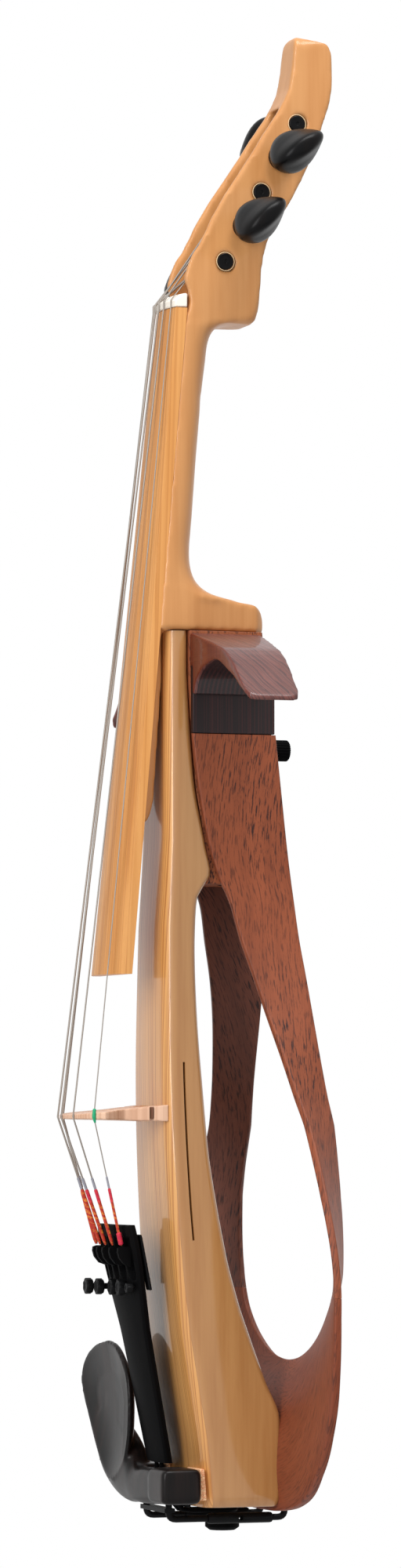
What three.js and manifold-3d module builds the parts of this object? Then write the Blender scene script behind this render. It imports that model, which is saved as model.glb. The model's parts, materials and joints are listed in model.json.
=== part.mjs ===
// Electric violin with five strings: a slim maple body held in a bent walnut frame.
// Millimetres. X points to the treble side, Y to the back and Z to the head.
// Z is zero at the ledge under the peg box, where the instrument hangs.

import * as THREE from 'three';
import { mergeVertices } from 'three/addons/utils/BufferGeometryUtils.js';
import Module from 'manifold-3d';

const wasm = await Module();
wasm.setup();
const { Manifold, Mesh } = wasm;

// Fits
const clearance = 0.3;
const overrun = 4;
const weld = 0.0002;

// Lengths along the instrument
const nutZ = 5.3;
const neckLength = 131.5;
const boardLength = 270;
const bodyStop = 196.1;
const bodyLength = 350.4;
const heelZ = nutZ - neckLength;
const boardEndZ = nutZ - boardLength;
const bridgeZ = heelZ - bodyStop;
const bodyEndZ = heelZ - bodyLength;

// Strings
const stringNames = ['c', 'g', 'd', 'a', 'e'];
const stringRadii = [0.6, 0.45, 0.42, 0.38, 0.27];
const nutSpacing = 5.2;
const bridgeSpacing = 10;
const stringNutY = 3.2;
const bridgeHeight = 37.8;
const nutCurveRadius = 34;
const crownRadius = 28;

// Nut and fingerboard
const nutLength = 5.6;
const nutRise = 1;
const nutFall = 4;
const boardNutHalf = 12.6;
const boardEndHalf = 21;
const boardRadius = 42;
const boardNutCrest = stringNutY + nutRise;
const boardAction = 7.2;
const boardNutBack = 10.9;
const boardEndThick = 8.19;
const boardEndCrest = stringNutY - (stringNutY + bridgeHeight) * boardLength / (nutZ - bridgeZ) + boardAction;
const boardEndBack = boardEndCrest + boardEndThick;
const boardHollow = 3.15;
const boardSteps = 12;

// Head: peg box and the plain end above it
const headHeight = 118.5;
const headDepth = 74.4;
const headHalf = 12.6;
const headWidthShares = [[0, 1], [0.34, 0.95], [0.67, 0.8], [1, 0.64]];
const headFrontShares = [
  [0.155, 0.06], [0.15, 0.092], [0.122, 0.14], [0.172, 0.24], [0.255, 0.338], [0.427, 0.506],
  [0.61, 0.69], [0.679, 0.786], [0.713, 0.884], [0.728, 0.967],
];
const headTopShares = [[0.742, 0.994], [0.765, 1], [0.97, 0.976]];
const headBackShares = [
  [0.998, 0.945], [1, 0.86], [0.965, 0.74], [0.884, 0.59], [0.746, 0.422], [0.632, 0.31],
  [0.582, 0.2], [0.57, 0.06],
];
const ledgeBack = 40.6;
const ledgeFront = 28.6;
const ledgeRadius = 5.5;
const ledgeY = (ledgeBack + ledgeFront) / 2;
const slotLowZ = 11.4;
const slotTopZ = 90;
const slotHalf = 10.3;
const slotWidthShares = [[0, 1], [0.14, 0.81], [1, 0.53]];
const slotFloorBack = 6.6;

// Neck, heel and tongue
const neckBackAtHead = 21.2;
const neckBackAtHeel = 12.5;
const neckHeelHalf = 17.2;
const heelHeight = 13.5;
const heelFillet = 12;
const heelBack = 44.6;
const heelBackHalf = 13;
const heelCorner = 4;
const tongueHalf = 16;
const tongueLength = 78;
const tongueEndShares = [0.352, 0.564, 0.775];
const neckSides = 16;

// Pegs
const pegFirstY = 27.3;
const pegFirstZ = 24.7;
const pegPitch = 16.67;
const pegSlope = 61.5;
const pegNames = ['c', 'e', 'g', 'a', 'd'];
const pegSides = [-1, 1, -1, 1, -1];
const pegTurnDegrees = [38, 42, 40, 35, 44];
const pegTipRadius = 3.1;
const pegCollarRadius = 3.9;
const pegTipOut = 0.6;
const pegRingRadius = 5.4;
const pegRingLength = 2.6;
const pegGap = 1.4;
const pegStringShare = 0.4;
const pegHeadStart = 6.5;
const pegHeadLength = 24;
const pegHeadHalfWidth = 11.8;
const pegHeadHalfThick = 8.4;
const pegHeadShares = [
  [0, 0.32, 0.45], [0.12, 0.52, 0.8], [0.28, 0.76, 1], [0.48, 0.96, 0.86], [0.66, 1, 0.64],
  [0.82, 0.9, 0.42], [0.93, 0.68, 0.28], [0.985, 0.4, 0.16],
];

// Centre body: core and top plate
const coreTopHalf = 16;
const coreEndHalf = 28;
const plateThick = 2.8;
const plateEdge = 2.2;
const plateArch = 0.7;
const archStartShare = 0.23;
const archFullShare = 0.4;
const coreTopBack = 10.1;
const bodyFrontDrop = 14.2;
const coreStationShares = [
  // share of the body's length, share of the widening, share of the front's drop
  [0, 0, 0.06], [0.2, 0.1, 0.05], [0.3, 0.19, 0.03], [0.4, 0.31, 0], [0.5, 0.43, -0.01],
  [0.58, 0.53, 0.04], [0.66, 0.62, 0.14], [0.74, 0.72, 0.29], [0.81, 0.82, 0.47], [0.88, 0.92, 0.68],
  [0.94, 1, 0.87], [1, 1, 1],
];
const coreBackShares = [
  // share of the body's length, share of the depth at the lower end
  [0, 0.22], [0.05, 0.22], [0.1, 0.24], [0.18, 0.288], [0.25, 0.384], [0.279, 0.426], [0.292, 0.37],
  [0.308, 0.3], [0.33, 0.283], [0.37, 0.272], [0.45, 0.288], [0.53, 0.331], [0.6, 0.376],
  [0.667, 0.456], [0.725, 0.541], [0.775, 0.645], [0.82, 0.765], [0.86, 0.876], [0.897, 0.994],
  [0.93, 0.998],
];
const coreBackRadius = 4;
const slitLength = 71;
const slitWidth = 0.9;
const slitDepth = 8;
const slitFromHeel = 173.5;
const slitBehindFront = 8;

// Frame: two ribs and the lower panel, which together make one loop
const loopHalf = 94;
const loopDepth = 62;
const frameOverhang = 2.4;
const frameDrop = bodyLength + frameOverhang;
const ribThick = 3;
const panelThick = 3.6;
const edgeShares = [
  // front edge across, back and down, then back edge across, back and down: shares of half width, depth and drop
  [0.2128, 0.1726, 0.1185, 0.2128, 0.7452, 0.1185], [0.2074, 0.2194, 0.1808, 0.2053, 0.7871, 0.1808],
  [0.1968, 0.3032, 0.2489, 0.1968, 0.8339, 0.2489], [0.1947, 0.3629, 0.28, 0.2, 0.8548, 0.28],
  [0.2106, 0.4323, 0.3084, 0.2128, 0.871, 0.3084], [0.2479, 0.4871, 0.3509, 0.2404, 0.8919, 0.3509],
  [0.2989, 0.55, 0.3934, 0.2872, 0.9129, 0.3934], [0.3628, 0.6032, 0.4359, 0.3436, 0.9258, 0.4359],
  [0.4755, 0.6661, 0.4926, 0.4213, 0.9403, 0.4926], [0.5553, 0.7016, 0.5323, 0.4723, 0.9516, 0.5323],
  [0.6277, 0.7258, 0.5635, 0.516, 0.9629, 0.5635], [0.7553, 0.7468, 0.6173, 0.583, 0.9726, 0.6173],
  [0.8457, 0.7468, 0.6542, 0.6117, 0.9774, 0.6542], [0.934, 0.7452, 0.6995, 0.6213, 0.979, 0.6995],
  [0.974, 0.7419, 0.7307, 0.6064, 0.9806, 0.7307], [0.991, 0.7419, 0.7506, 0.5745, 0.9806, 0.7506],
  [0.9998, 0.7419, 0.7817, 0.517, 0.9823, 0.7732], [0.9931, 0.7419, 0.8271, 0.4223, 0.9855, 0.7959],
  [0.9532, 0.7419, 0.8838, 0.3213, 0.9887, 0.8115], [0.8596, 0.7419, 0.932, 0.2298, 0.9919, 0.8209],
  [0.7, 0.7419, 0.9688, 0.1543, 0.9952, 0.826], [0.5149, 0.7419, 0.9887, 0.0926, 0.9968, 0.8285],
  [0.2915, 0.7419, 0.998, 0.0415, 0.9984, 0.8297], [0, 0.7419, 1, 0, 1, 0.83],
];
const cupShares = [
  1, 1, 1, 1, 1, 1, 1, 1, 1, 1, 1, 1, 1, 1.05, 1.1, 1.15, 1.3, 1.6, 2, 2.5, 2.9, 3.2, 3.4, 3.5,
];
const faceShares = [
  0, 0, 0, 0, 0, 0, 0, 0.05, 0.12, 0.25, 0.4, 0.55, 0.7, 0.85, 0.95, 1, 1, 1, 1, 1, 1, 1, 1, 1,
];
const jointShare = 0.62917;
const ribTopKept = 4;
const ribTopFaded = 12;
const ribSteps = 34;
const panelSteps = 20;
const ribbonAcross = [0, 0.25, 0.5, 0.75, 1];
const panelAcross = [0, 0.22, 0.44, 0.64, 0.83, 1];

// Frame: the two wings of the upper bout and the dark cheeks under them
const wingHalf = 87;
const wingDrop = 33.5;
const wingFront = 10.3;
const wingRootDepth = 30;
const wingTipDepth = 22.5;
const wingCorner = 4;
const wingTopShares = [
  [0.1954, 0.03], [0.3, 0.09], [0.439, 0.173], [0.57, 0.255], [0.668, 0.33], [0.791, 0.504], [0.866, 0.663],
  [0.93, 0.8], [0.967, 0.863],
];
const wingTipShares = [[0.99, 0.91], [1, 0.95], [0.994, 0.985], [0.975, 0.97]];
const wingUnderShares = [
  [0.955, 0.9], [0.882, 0.803], [0.797, 0.669], [0.722, 0.588], [0.614, 0.466], [0.537, 0.421], [0.428, 0.454],
  [0.34, 0.52], [0.29, 0.6], [0.262, 0.696], [0.248, 0.78],
];
const cheekInner = 17;
const cheekThick = 3;
const cheekTopDrop = 15;
const cheekBack = 45.6;

// Trunk block and control pocket
const blockEndDrop = 101.8;
const blockWidthShares = [[0, 1], [0.42, 1], [0.63, 0.96], [0.8, 0.905], [1, 0.88]];
const blockHalf = 16.7;
const blockTopBack = 41.4;
const blockEndBack = 51.1;
const coverThick = 2;
const coverTopDrop = 20;
const coverEndDrop = 96;
const coverHalf = 12.4;
const pocketHalf = 9;
const pocketTopDrop = 28;
const pocketEndDrop = 84;
const pocketDepth = 16;
const knobDrop = 46.6;
const knobRadius = 4.4;
const knobLength = 11.4;
const knobRibs = 24;
const knobRibDepth = 0.35;
const potRadius = 6;
const potLength = 7;
const potBushRadius = 3.4;
const potShaftRadius = 2.4;
const potShaftLength = 8;
const coverScrewRadius = 1.4;
const coverScrewHead = 2.6;
const coverScrewLength = 6.5;
const coverScrewInset = 4;
const neckBoltRadius = 2.6;
const neckBoltHead = 4.4;
const neckBoltHeadHeight = 3.4;
const neckBoltGrip = 37;
const neckBoltY = 33.4;

// Output socket in the end of the trunk block
const jackY = 35.5;
const jackHoleRadius = 3.25;
const jackBushRadius = 4.7;
const jackBodyRadius = 6;
const jackBodyLength = 20;
const jackInset = 6;
const jackNutRadius = 7;
const jackNutLength = 2.4;
const jackRimOut = 3.4;
const jackSink = jackNutLength + clearance;

// Bridge
const bridgeFootThick = 6.6;
const bridgeCrownThick = 1.5;
const bridgeLean = 1;
const bridgeTopHalf = 23;
const bridgeFootHalf = 20.5;
const bridgeFootGap = 0.3;
const pickupThick = 0.7;
const pickupLength = 6.5;
const pickupRise = 6.8;

// Sleeve on the top string
const sleeveRadius = 1.15;
const sleeveWall = 0.45;
const sleeveLength = 4.4;

// Tailpiece and tuners
const afterLength = 42.2;
const barTopRise = 15.6;
const tailBarGap = 1.5;
const tailTopZ = bridgeZ - afterLength;
const barTopZ = bodyEndZ + barTopRise;
const tailEndZ = barTopZ + tailBarGap;
const tailLength = tailTopZ - tailEndZ;
const tailTopY = -16.4;
const tailEndY = 2.2;
const tailTopHalf = 21.5;
const tailEndHalf = 10.5;
const tailThick = 3.2;
const tailArch = 2.4;
const tunerDrop = tailLength * 0.263;
const tunerSpacing = 8;
const tunerHeadRadius = 3.3;
const tunerHeadLength = 3;
const tunerShankRadius = 1.1;
const tunerDepth = 4.7;
const tunerTops = [10.4, 7.4, 4, 3.6, 3.6];
const leverHalf = 2.2;
const leverThick = 1.5;
const leverLength = tailLength * 0.2105;
const leverPivotDrop = tailLength * 0.0421;
const leverGap = 2.6;
const tailHookDrop = tailLength * 0.0632;
const gutRadius = 0.9;
const gutHalf = 3.2;

// Lower end
const saddleHalf = 10.5;
const saddleHeight = 3;
const saddleLength = 5.5;
const buttonRadius = 6.9;
const buttonNeckRadius = 4.2;
const buttonHead = 4.2;
const buttonNeck = 6.4;
const buttonPin = 18;
const buttonPinRadius = 3.4;
const buttonY = 30;

// Chin rest
const chinWidth = 59;
const chinLength = 56;
const chinCentreX = -46;
const chinCentreRise = 39.9;
const chinRimY = -5.4;
const chinDish = 4.6;
const chinThick = 4.4;
const chinOutlineShares = [
  [0.06, 0.5], [0.3, 0.37], [0.46, 0.13], [0.5, -0.11], [0.4, -0.36], [0.14, -0.5], [-0.14, -0.42],
  [-0.35, -0.16], [-0.49, 0.14], [-0.46, 0.35], [-0.2, 0.47],
];
const barHeight = 12.5;
const barFootInner = 11.5;
const barFootOuter = 31.5;
const barTopY = -5.6;
const barUnderY = 1.8;
const barBassReach = 44;
const footBottomY = 10.8;
const rodX = 14;
const rodRadius = 1.35;
const rodDrop = 5;
const bracketHalfDepth = 2.2;
const bracketThick = 1.8;
const rodBend = 3;
const barrelRadius = 2.15;
const barrelLength = 27;
const barrelStartY = 19;
const barrelBore = 7;
const hookRise = 11;

// Materials
function finish(colour, roughness, metalness = 0) {
  return new THREE.MeshStandardMaterial({ color: colour, roughness, metalness });
}
const maple = finish(0xd9a066, 0.35);
const bodyMaple = finish(0xc99c62, 0.35);
const boardWood = finish(0xd79b58, 0.4);
const spruce = finish(0xd8a66c, 0.25);
const walnut = finish(0x8a4f32, 0.4);
const darkVeneer = finish(0x2d201d, 0.45);
const bone = finish(0xf6efe2, 0.4);
const ebony = finish(0x1c1c1e, 0.35);
const steel = finish(0xb9b4ac, 0.3, 1);
const blackMetal = finish(0x141416, 0.35, 0.6);
const bridgeMaple = finish(0xd7b096, 0.6);
const greenTube = finish(0x1ea06e, 0.5);
const cork = finish(0x9b5a3c, 0.9);
const nickel = finish(0xc8c8c4, 0.25, 1);
const piezo = finish(0x33302e, 0.6);

// Geometry helpers
function toSolid(geometry) {
  const plain = geometry.index ? geometry.toNonIndexed() : geometry.clone();
  plain.deleteAttribute('normal');
  plain.deleteAttribute('uv');
  const merged = mergeVertices(plain, weld);
  const mesh = new Mesh({
    numProp: 3,
    vertProperties: new Float32Array(merged.attributes.position.array),
    triVerts: new Uint32Array(merged.index.array),
  });
  return new Manifold(mesh);
}

function toGeometry(solid) {
  const mesh = solid.getMesh();
  const geometry = new THREE.BufferGeometry();
  geometry.setAttribute('position', new THREE.BufferAttribute(mesh.vertProperties, 3));
  geometry.setIndex(new THREE.BufferAttribute(mesh.triVerts, 1));
  geometry.computeVertexNormals();
  return geometry;
}

const violin = new THREE.Group();
function addPiece(name, solid, material) {
  const piece = new THREE.Mesh(toGeometry(solid), material);
  piece.name = name;
  violin.add(piece);
}

function signedVolume(points, triangles) {
  let volume = 0;
  for (let i = 0; i < triangles.length; i += 3) {
    const [a, b, c] = [points[triangles[i]], points[triangles[i + 1]], points[triangles[i + 2]]];
    volume += a.dot(new THREE.Vector3().crossVectors(b, c));
  }
  return volume;
}

// A solid through rings of points, all with the same count, closed by a fan at each end.
function loft(rings) {
  const count = rings[0].length;
  const points = rings.flat();
  const triangles = [];
  for (let r = 0; r + 1 < rings.length; r += 1) {
    for (let i = 0; i < count; i += 1) {
      const next = (i + 1) % count;
      const [a, b, c, d] = [r * count + i, r * count + next, (r + 1) * count + next, (r + 1) * count + i];
      triangles.push(a, b, c, a, c, d);
    }
  }
  const lastStart = (rings.length - 1) * count;
  const capStarts = [0, lastStart];
  capStarts.forEach((start, end) => {
    const centre = new THREE.Vector3();
    for (let i = 0; i < count; i += 1) centre.addScaledVector(points[start + i], 1 / count);
    points.push(centre);
    const hub = points.length - 1;
    for (let i = 0; i < count; i += 1) {
      const next = (i + 1) % count;
      if (end === 0) triangles.push(hub, start + next, start + i);
      else triangles.push(hub, start + i, start + next);
    }
  });
  if (signedVolume(points, triangles) < 0) triangles.reverse();
  const geometry = new THREE.BufferGeometry();
  geometry.setAttribute('position', new THREE.Float32BufferAttribute(points.flatMap((p) => p.toArray()), 3));
  geometry.setIndex(triangles);
  return toSolid(geometry);
}

// A side profile in Y and Z, given a half width across X at each height.
function sideSlab(profile, halfWidthAt) {
  const shape = new THREE.Shape(profile.map(([y, z]) => new THREE.Vector2(y, z)));
  const geometry = new THREE.ExtrudeGeometry(shape, { depth: 1, bevelEnabled: false });
  const at = geometry.attributes.position;
  for (let i = 0; i < at.count; i += 1) {
    const [y, z, across] = [at.getX(i), at.getY(i), at.getZ(i)];
    at.setXYZ(i, (2 * across - 1) * halfWidthAt(z), y, z);
  }
  return fixSense(geometry);
}

// A front outline in X and Z, carried from one depth to another.
function frontSlab(outline, fromY, toY) {
  const shape = new THREE.Shape(outline.map(([x, z]) => new THREE.Vector2(x, z)));
  const geometry = new THREE.ExtrudeGeometry(shape, { depth: toY - fromY, bevelEnabled: false });
  const at = geometry.attributes.position;
  for (let i = 0; i < at.count; i += 1) at.setXYZ(i, at.getX(i), fromY + at.getZ(i), at.getY(i));
  return fixSense(geometry);
}

// A plan outline in X and Y, carried from one height to another.
function planSlab(outline, fromZ, toZ) {
  const shape = new THREE.Shape(outline.map(([x, y]) => new THREE.Vector2(x, y)));
  const geometry = new THREE.ExtrudeGeometry(shape, { depth: toZ - fromZ, bevelEnabled: false });
  geometry.translate(0, 0, fromZ);
  return fixSense(geometry);
}

function fixSense(geometry) {
  const plain = geometry.index ? geometry.toNonIndexed() : geometry;
  const at = plain.attributes.position;
  let volume = 0;
  const corner = (i) => new THREE.Vector3().fromBufferAttribute(at, i);
  for (let i = 0; i < at.count; i += 3) {
    volume += corner(i).dot(corner(i + 1).cross(corner(i + 2)));
  }
  if (volume < 0) {
    for (let i = 0; i < at.count; i += 3) {
      const [b, c] = [corner(i + 1), corner(i + 2)];
      at.setXYZ(i + 1, c.x, c.y, c.z);
      at.setXYZ(i + 2, b.x, b.y, b.z);
    }
  }
  return toSolid(plain);
}

function box(x0, x1, y0, y1, z0, z1) {
  const geometry = new THREE.BoxGeometry(x1 - x0, y1 - y0, z1 - z0);
  geometry.translate((x0 + x1) / 2, (y0 + y1) / 2, (z0 + z1) / 2);
  return toSolid(geometry);
}

// A round solid from radius and height pairs that start and end on the axis, which stands on Z.
function turned(profile, sides) {
  const points = profile.map(([radius, height]) => new THREE.Vector2(radius, height));
  const geometry = new THREE.LatheGeometry(points, sides);
  geometry.rotateX(Math.PI / 2);
  return fixSense(geometry);
}

const facingBack = [-90, 0, 0];
const facingTreble = [0, 90, 0];
const facingBass = [0, -90, 0];
const facingFront = [90, 0, 0];

function rod(from, to, radius, sides = 16) {
  const [a, b] = [new THREE.Vector3(...from), new THREE.Vector3(...to)];
  const geometry = new THREE.CylinderGeometry(radius, radius, a.distanceTo(b), sides);
  geometry.applyQuaternion(new THREE.Quaternion().setFromUnitVectors(
    new THREE.Vector3(0, 1, 0), b.clone().sub(a).normalize()));
  geometry.translate(...a.clone().add(b).multiplyScalar(1 / 2).toArray());
  return toSolid(geometry);
}

// A wire through points, mitred at each bend.
function wire(points, radius, sides = 8) {
  const path = points.map((p) => new THREE.Vector3(...p));
  const rings = path.map((point, i) => {
    const before = path[Math.max(i - 1, 0)];
    const after = path[Math.min(i + 1, path.length - 1)];
    const into = point.clone().sub(before).normalize();
    const out = after.clone().sub(point).normalize();
    const along = into.clone().add(out).normalize();
    const lead = i === 0 ? out : into;
    const side = new THREE.Vector3(1, 0, 0).addScaledVector(lead, -lead.x).normalize();
    const up = new THREE.Vector3().crossVectors(lead, side);
    const ring = [];
    for (let k = 0; k < sides; k += 1) {
      const angle = (2 * Math.PI * k) / sides;
      const spoke = side.clone().multiplyScalar(Math.cos(angle)).addScaledVector(up, Math.sin(angle));
      const slide = -spoke.dot(along) / lead.dot(along);
      ring.push(point.clone().addScaledVector(spoke.addScaledVector(lead, slide), radius));
    }
    return ring;
  });
  return loft(rings);
}

function bend(corner, before, after, radius, steps = 5) {
  const [c, a, b] = [corner, before, after].map((p) => new THREE.Vector3(...p));
  const start = c.clone().add(a.sub(c).setLength(radius));
  const end = c.clone().add(b.sub(c).setLength(radius));
  const curve = new THREE.QuadraticBezierCurve3(start, c, end);
  return curve.getPoints(steps).map((p) => p.toArray());
}

function tableAt(table, share, column) {
  let i = 0;
  while (i + 2 < table.length && table[i + 1][0] < share) i += 1;
  const [low, high] = [table[i], table[i + 1]];
  const part = Math.min(Math.max((share - low[0]) / (high[0] - low[0]), 0), 1);
  return low[column] + (high[column] - low[column]) * part;
}

function smooth(points, count) {
  const curve = new THREE.CatmullRomCurve3(points.map(([a, b]) => new THREE.Vector3(a, b, 0)), false, 'centripetal');
  return curve.getPoints(count).map((p) => [p.x, p.y]);
}

function mirrored(points) {
  return points.map(([x, z]) => [-x, z]).reverse();
}

const lerp = THREE.MathUtils.lerp;
const radians = THREE.MathUtils.degToRad;

// Lines that several pieces follow
function boardBackAt(z) {
  return lerp(boardNutBack, boardEndBack, (nutZ - z) / boardLength);
}
function boardHalfAt(z) {
  return lerp(boardNutHalf, boardEndHalf, (nutZ - z) / boardLength);
}
function frontYAt(z) {
  return bodyFrontDrop * tableAt(coreStationShares, (heelZ - z) / bodyLength, 2);
}
function headHalfAt(z) {
  return headHalf * tableAt(headWidthShares, z / headHeight, 1);
}
function coreHalfAt(z) {
  return lerp(coreTopHalf, coreEndHalf, tableAt(coreStationShares, (heelZ - z) / bodyLength, 1));
}
const panelInnerY = edgeShares[edgeShares.length - 1][1] * loopDepth;
const coreEndBack = panelInnerY - clearance;
function coreBackAt(z) {
  return coreEndBack * tableAt(coreBackShares, (heelZ - z) / bodyLength, 1);
}

// Neck
function makeNeck() {
  const at = ([y, z]) => [y * headDepth, z * headHeight];
  const front = smooth(headFrontShares.slice(2).map(at), 14);
  const back = smooth(headBackShares.map(at), 16);
  const fromNeck = ledgeFront - neckBackAtHead;
  const ledge = [[ledgeBack, 0], ...smooth([
    [ledgeFront, 0], [neckBackAtHead + fromNeck * 0.35, -ledgeRadius * 0.35],
    [neckBackAtHead + fromNeck * 0.06, -ledgeRadius], [neckBackAtHead, -ledgeRadius * 2],
  ], 8)];
  const neckFrontAt = (z) => boardBackAt(z) + clearance;
  const profile = [
    ...headFrontShares.slice(0, 2).map(at), ...front, ...headTopShares.map(at), ...back, ...ledge,
    [neckFrontAt(-ledgeRadius * 2), -ledgeRadius * 2], [neckFrontAt(nutZ), nutZ],
  ];
  let neck = sideSlab(profile, headHalfAt);

  const floor = new THREE.Vector2(Math.sin(radians(pegSlope)), -Math.cos(radians(pegSlope)))
    .multiplyScalar(slotFloorBack);
  const along = 1 / Math.tan(radians(pegSlope));
  const floorAt = (z) => [pegFirstY + floor.x + (z - pegFirstZ - floor.y) * along, z];
  const slotAt = (share) => lerp(slotLowZ, slotTopZ, share);
  const corner = slotHalf * slotWidthShares[slotWidthShares.length - 1][1] / (slotTopZ - slotLowZ);
  const slot = [
    [-overrun, slotLowZ], floorAt(slotLowZ), floorAt(slotAt(slotWidthShares[1][0])), floorAt(slotAt(1 - corner)),
    [floorAt(slotTopZ)[0] - corner * slotTopZ, slotTopZ], [-overrun, slotTopZ], [-overrun, slotAt(slotWidthShares[1][0])],
  ];
  neck = neck.subtract(sideSlab(slot, (z) => slotHalf * tableAt(
    slotWidthShares, (z - slotLowZ) / (slotTopZ - slotLowZ), 1)));

  const rings = [];
  const steps = 6;
  const topZ = nutZ - clearance;
  const endZ = heelZ + heelHeight / 2;
  for (let i = 0; i <= steps; i += 1) {
    const z = lerp(topZ, endZ, i / steps);
    const half = lerp(headHalf, neckHeelHalf, i / steps);
    const start = boardBackAt(z) + clearance;
    const depth = lerp(neckBackAtHead, neckBackAtHeel, i / steps) - start;
    const ring = [];
    for (let k = 0; k <= neckSides; k += 1) {
      const angle = (Math.PI * k) / neckSides;
      ring.push(new THREE.Vector3(
        half * Math.cos(angle), start + depth * Math.sin(angle) ** 0.75, z));
    }
    rings.push(ring);
  }
  neck = neck.add(loft(rings));

  const heelTop = heelZ + heelHeight;
  const heelProfile = [
    ...smooth([
      [neckBackAtHeel - heelHeight / 8, heelTop + heelFillet * 1.2], [neckBackAtHeel, heelTop + heelFillet * 0.7],
      [neckBackAtHeel + heelFillet * 0.2, heelTop + heelFillet * 0.3], [neckBackAtHeel + heelFillet * 0.6, heelTop],
    ], 8),
    ...smooth([
      [heelBack - heelCorner * 1.2, heelTop - heelHeight * 0.14], [heelBack - heelCorner * 0.3, heelTop - heelHeight * 0.34],
      [heelBack, heelTop - heelHeight * 0.6],
    ], 5),
    [heelBack, heelZ + clearance], [boardBackAt(heelZ) + clearance, heelZ + clearance],
    [boardBackAt(heelTop + heelFillet) + clearance, heelTop + heelFillet],
  ];
  const heelPlan = [
    [-neckHeelHalf, boardBackAt(heelZ)], [neckHeelHalf, boardBackAt(heelZ)], [neckHeelHalf, coreTopBack],
    [heelBackHalf, heelBack - heelCorner], [heelBackHalf - heelCorner, heelBack],
    [heelCorner - heelBackHalf, heelBack], [-heelBackHalf, heelBack - heelCorner], [-neckHeelHalf, coreTopBack],
  ];
  const heel = sideSlab(heelProfile, () => neckHeelHalf)
    .intersect(planSlab(heelPlan, heelZ, heelTop + heelFillet * 2));
  neck = neck.add(heel);

  const tongueEnd = heelZ - tongueLength;
  const tongueFront = (z) => boardBackAt(z) + clearance;
  const tongueBack = frontYAt(heelZ) - clearance;
  const tongue = [
    [tongueFront(heelZ + overrun), heelZ + overrun], [tongueBack, heelZ + overrun], [tongueBack, heelZ - tongueLength / 4],
    ...smooth([0.12, 0.03, 0].map((share, i) => [
      lerp(tongueBack, tongueFront(tongueEnd), tongueEndShares[i]), tongueEnd + tongueLength * share,
    ]), 5),
    [tongueFront(tongueEnd), tongueEnd],
  ];
  neck = neck.add(sideSlab(tongue, () => tongueHalf));

  pegNames.forEach((name, i) => {
    const [y, z] = pegPlace(i);
    const wall = headHalf + overrun;
    const reach = pegSides[i] * wall;
    neck = neck.subtract(rod([-reach, y, z], [0, y, z], pegTipRadius + pegTaper / 2 + clearance));
    neck = neck.subtract(rod([0, y, z], [reach, y, z], pegCollarRadius + clearance));
  });
  neck = neck.subtract(rod(
    [0, neckBoltY, heelZ - overrun], [0, neckBoltY, heelZ + heelHeight * 0.82], neckBoltRadius + clearance));
  addPiece('neck', neck, maple);
}

const pegTaper = pegCollarRadius - pegTipRadius;
function pegPlace(i) {
  return [
    pegFirstY + pegPitch * i * Math.cos(radians(pegSlope)),
    pegFirstZ + pegPitch * i * Math.sin(radians(pegSlope)),
  ];
}

// Fingerboard and nut
function arcRing(z, half, crest, back, radius) {
  const ring = [];
  for (let k = 0; k <= boardSteps; k += 1) {
    const x = lerp(-half, half, k / boardSteps);
    ring.push(new THREE.Vector3(x, crest + (x * x) / (2 * radius), z));
  }
  ring.push(new THREE.Vector3(half, back, z), new THREE.Vector3(-half, back, z));
  return ring;
}

function makeFingerboard() {
  const board = loft([
    arcRing(nutZ - clearance, boardNutHalf, boardNutCrest, boardNutBack, boardRadius),
    arcRing(boardEndZ, boardEndHalf, boardEndCrest, boardEndBack, boardRadius),
  ]);
  const hollowRadius = boardEndHalf * 1.5;
  const [lowZ, highZ] = [boardEndZ - overrun, boardEndZ + boardLength / 5];
  const hollow = rod(
    [0, boardBackAt(lowZ) - boardHollow + hollowRadius, lowZ], [0, boardBackAt(highZ) + hollowRadius, highZ],
    hollowRadius, 40);
  addPiece('fingerboard', board.subtract(hollow), boardWood);
}

function makeNut() {
  const crest = boardNutCrest - nutRise;
  const topZ = nutZ + nutLength;
  const nut = loft([
    arcRing(nutZ, boardNutHalf, crest + clearance, boardNutBack, nutCurveRadius),
    arcRing(nutZ + nutLength / 2, boardNutHalf, crest + clearance, boardNutBack, nutCurveRadius),
    arcRing(topZ, boardNutHalf, crest + nutFall, boardNutBack, nutCurveRadius),
  ]);
  addPiece('nut', nut, bone);
}

// Pegs
function makePeg(i) {
  const side = pegSides[i];
  const [y, z] = pegPlace(i);
  const wall = headHalfAt(z);
  const ringAt = wall + pegGap;
  const headAt = ringAt + pegHeadStart;
  const shaft = turned([
    [0, -wall - pegTipOut], [pegTipRadius, -wall - pegTipOut], [pegTipRadius + pegTaper / 2, 0],
    [pegCollarRadius, ringAt], [pegRingRadius, ringAt], [pegRingRadius, ringAt + pegRingLength],
    [pegCollarRadius, ringAt + pegRingLength * 1.5], [pegCollarRadius, headAt + pegHeadLength * 0.2],
    [0, headAt + pegHeadLength * 0.2],
  ], 12).rotate(side > 0 ? facingTreble : facingBass);
  const turn = radians(pegTurnDegrees[i]);
  const rings = pegHeadShares.map(([along, wide, thick]) => {
    const ring = [];
    const sides = 12;
    for (let k = 0; k < sides; k += 1) {
      const angle = (2 * Math.PI * k) / sides;
      const a = pegHeadHalfWidth * wide * Math.cos(angle);
      const b = pegHeadHalfThick * thick * Math.sin(angle);
      ring.push(new THREE.Vector3(
        side * (headAt + pegHeadLength * along),
        a * Math.cos(turn) - b * Math.sin(turn),
        a * Math.sin(turn) + b * Math.cos(turn)));
    }
    return ring;
  });
  const peg = shaft.add(loft(rings)).translate([0, y, z]);
  addPiece(`peg_${pegNames[i]}`, peg, ebony);
}

// Strings: hook, bridge, nut, peg
function stringPlace(i) {
  return i - (stringNames.length - 1) / 2;
}

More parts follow.
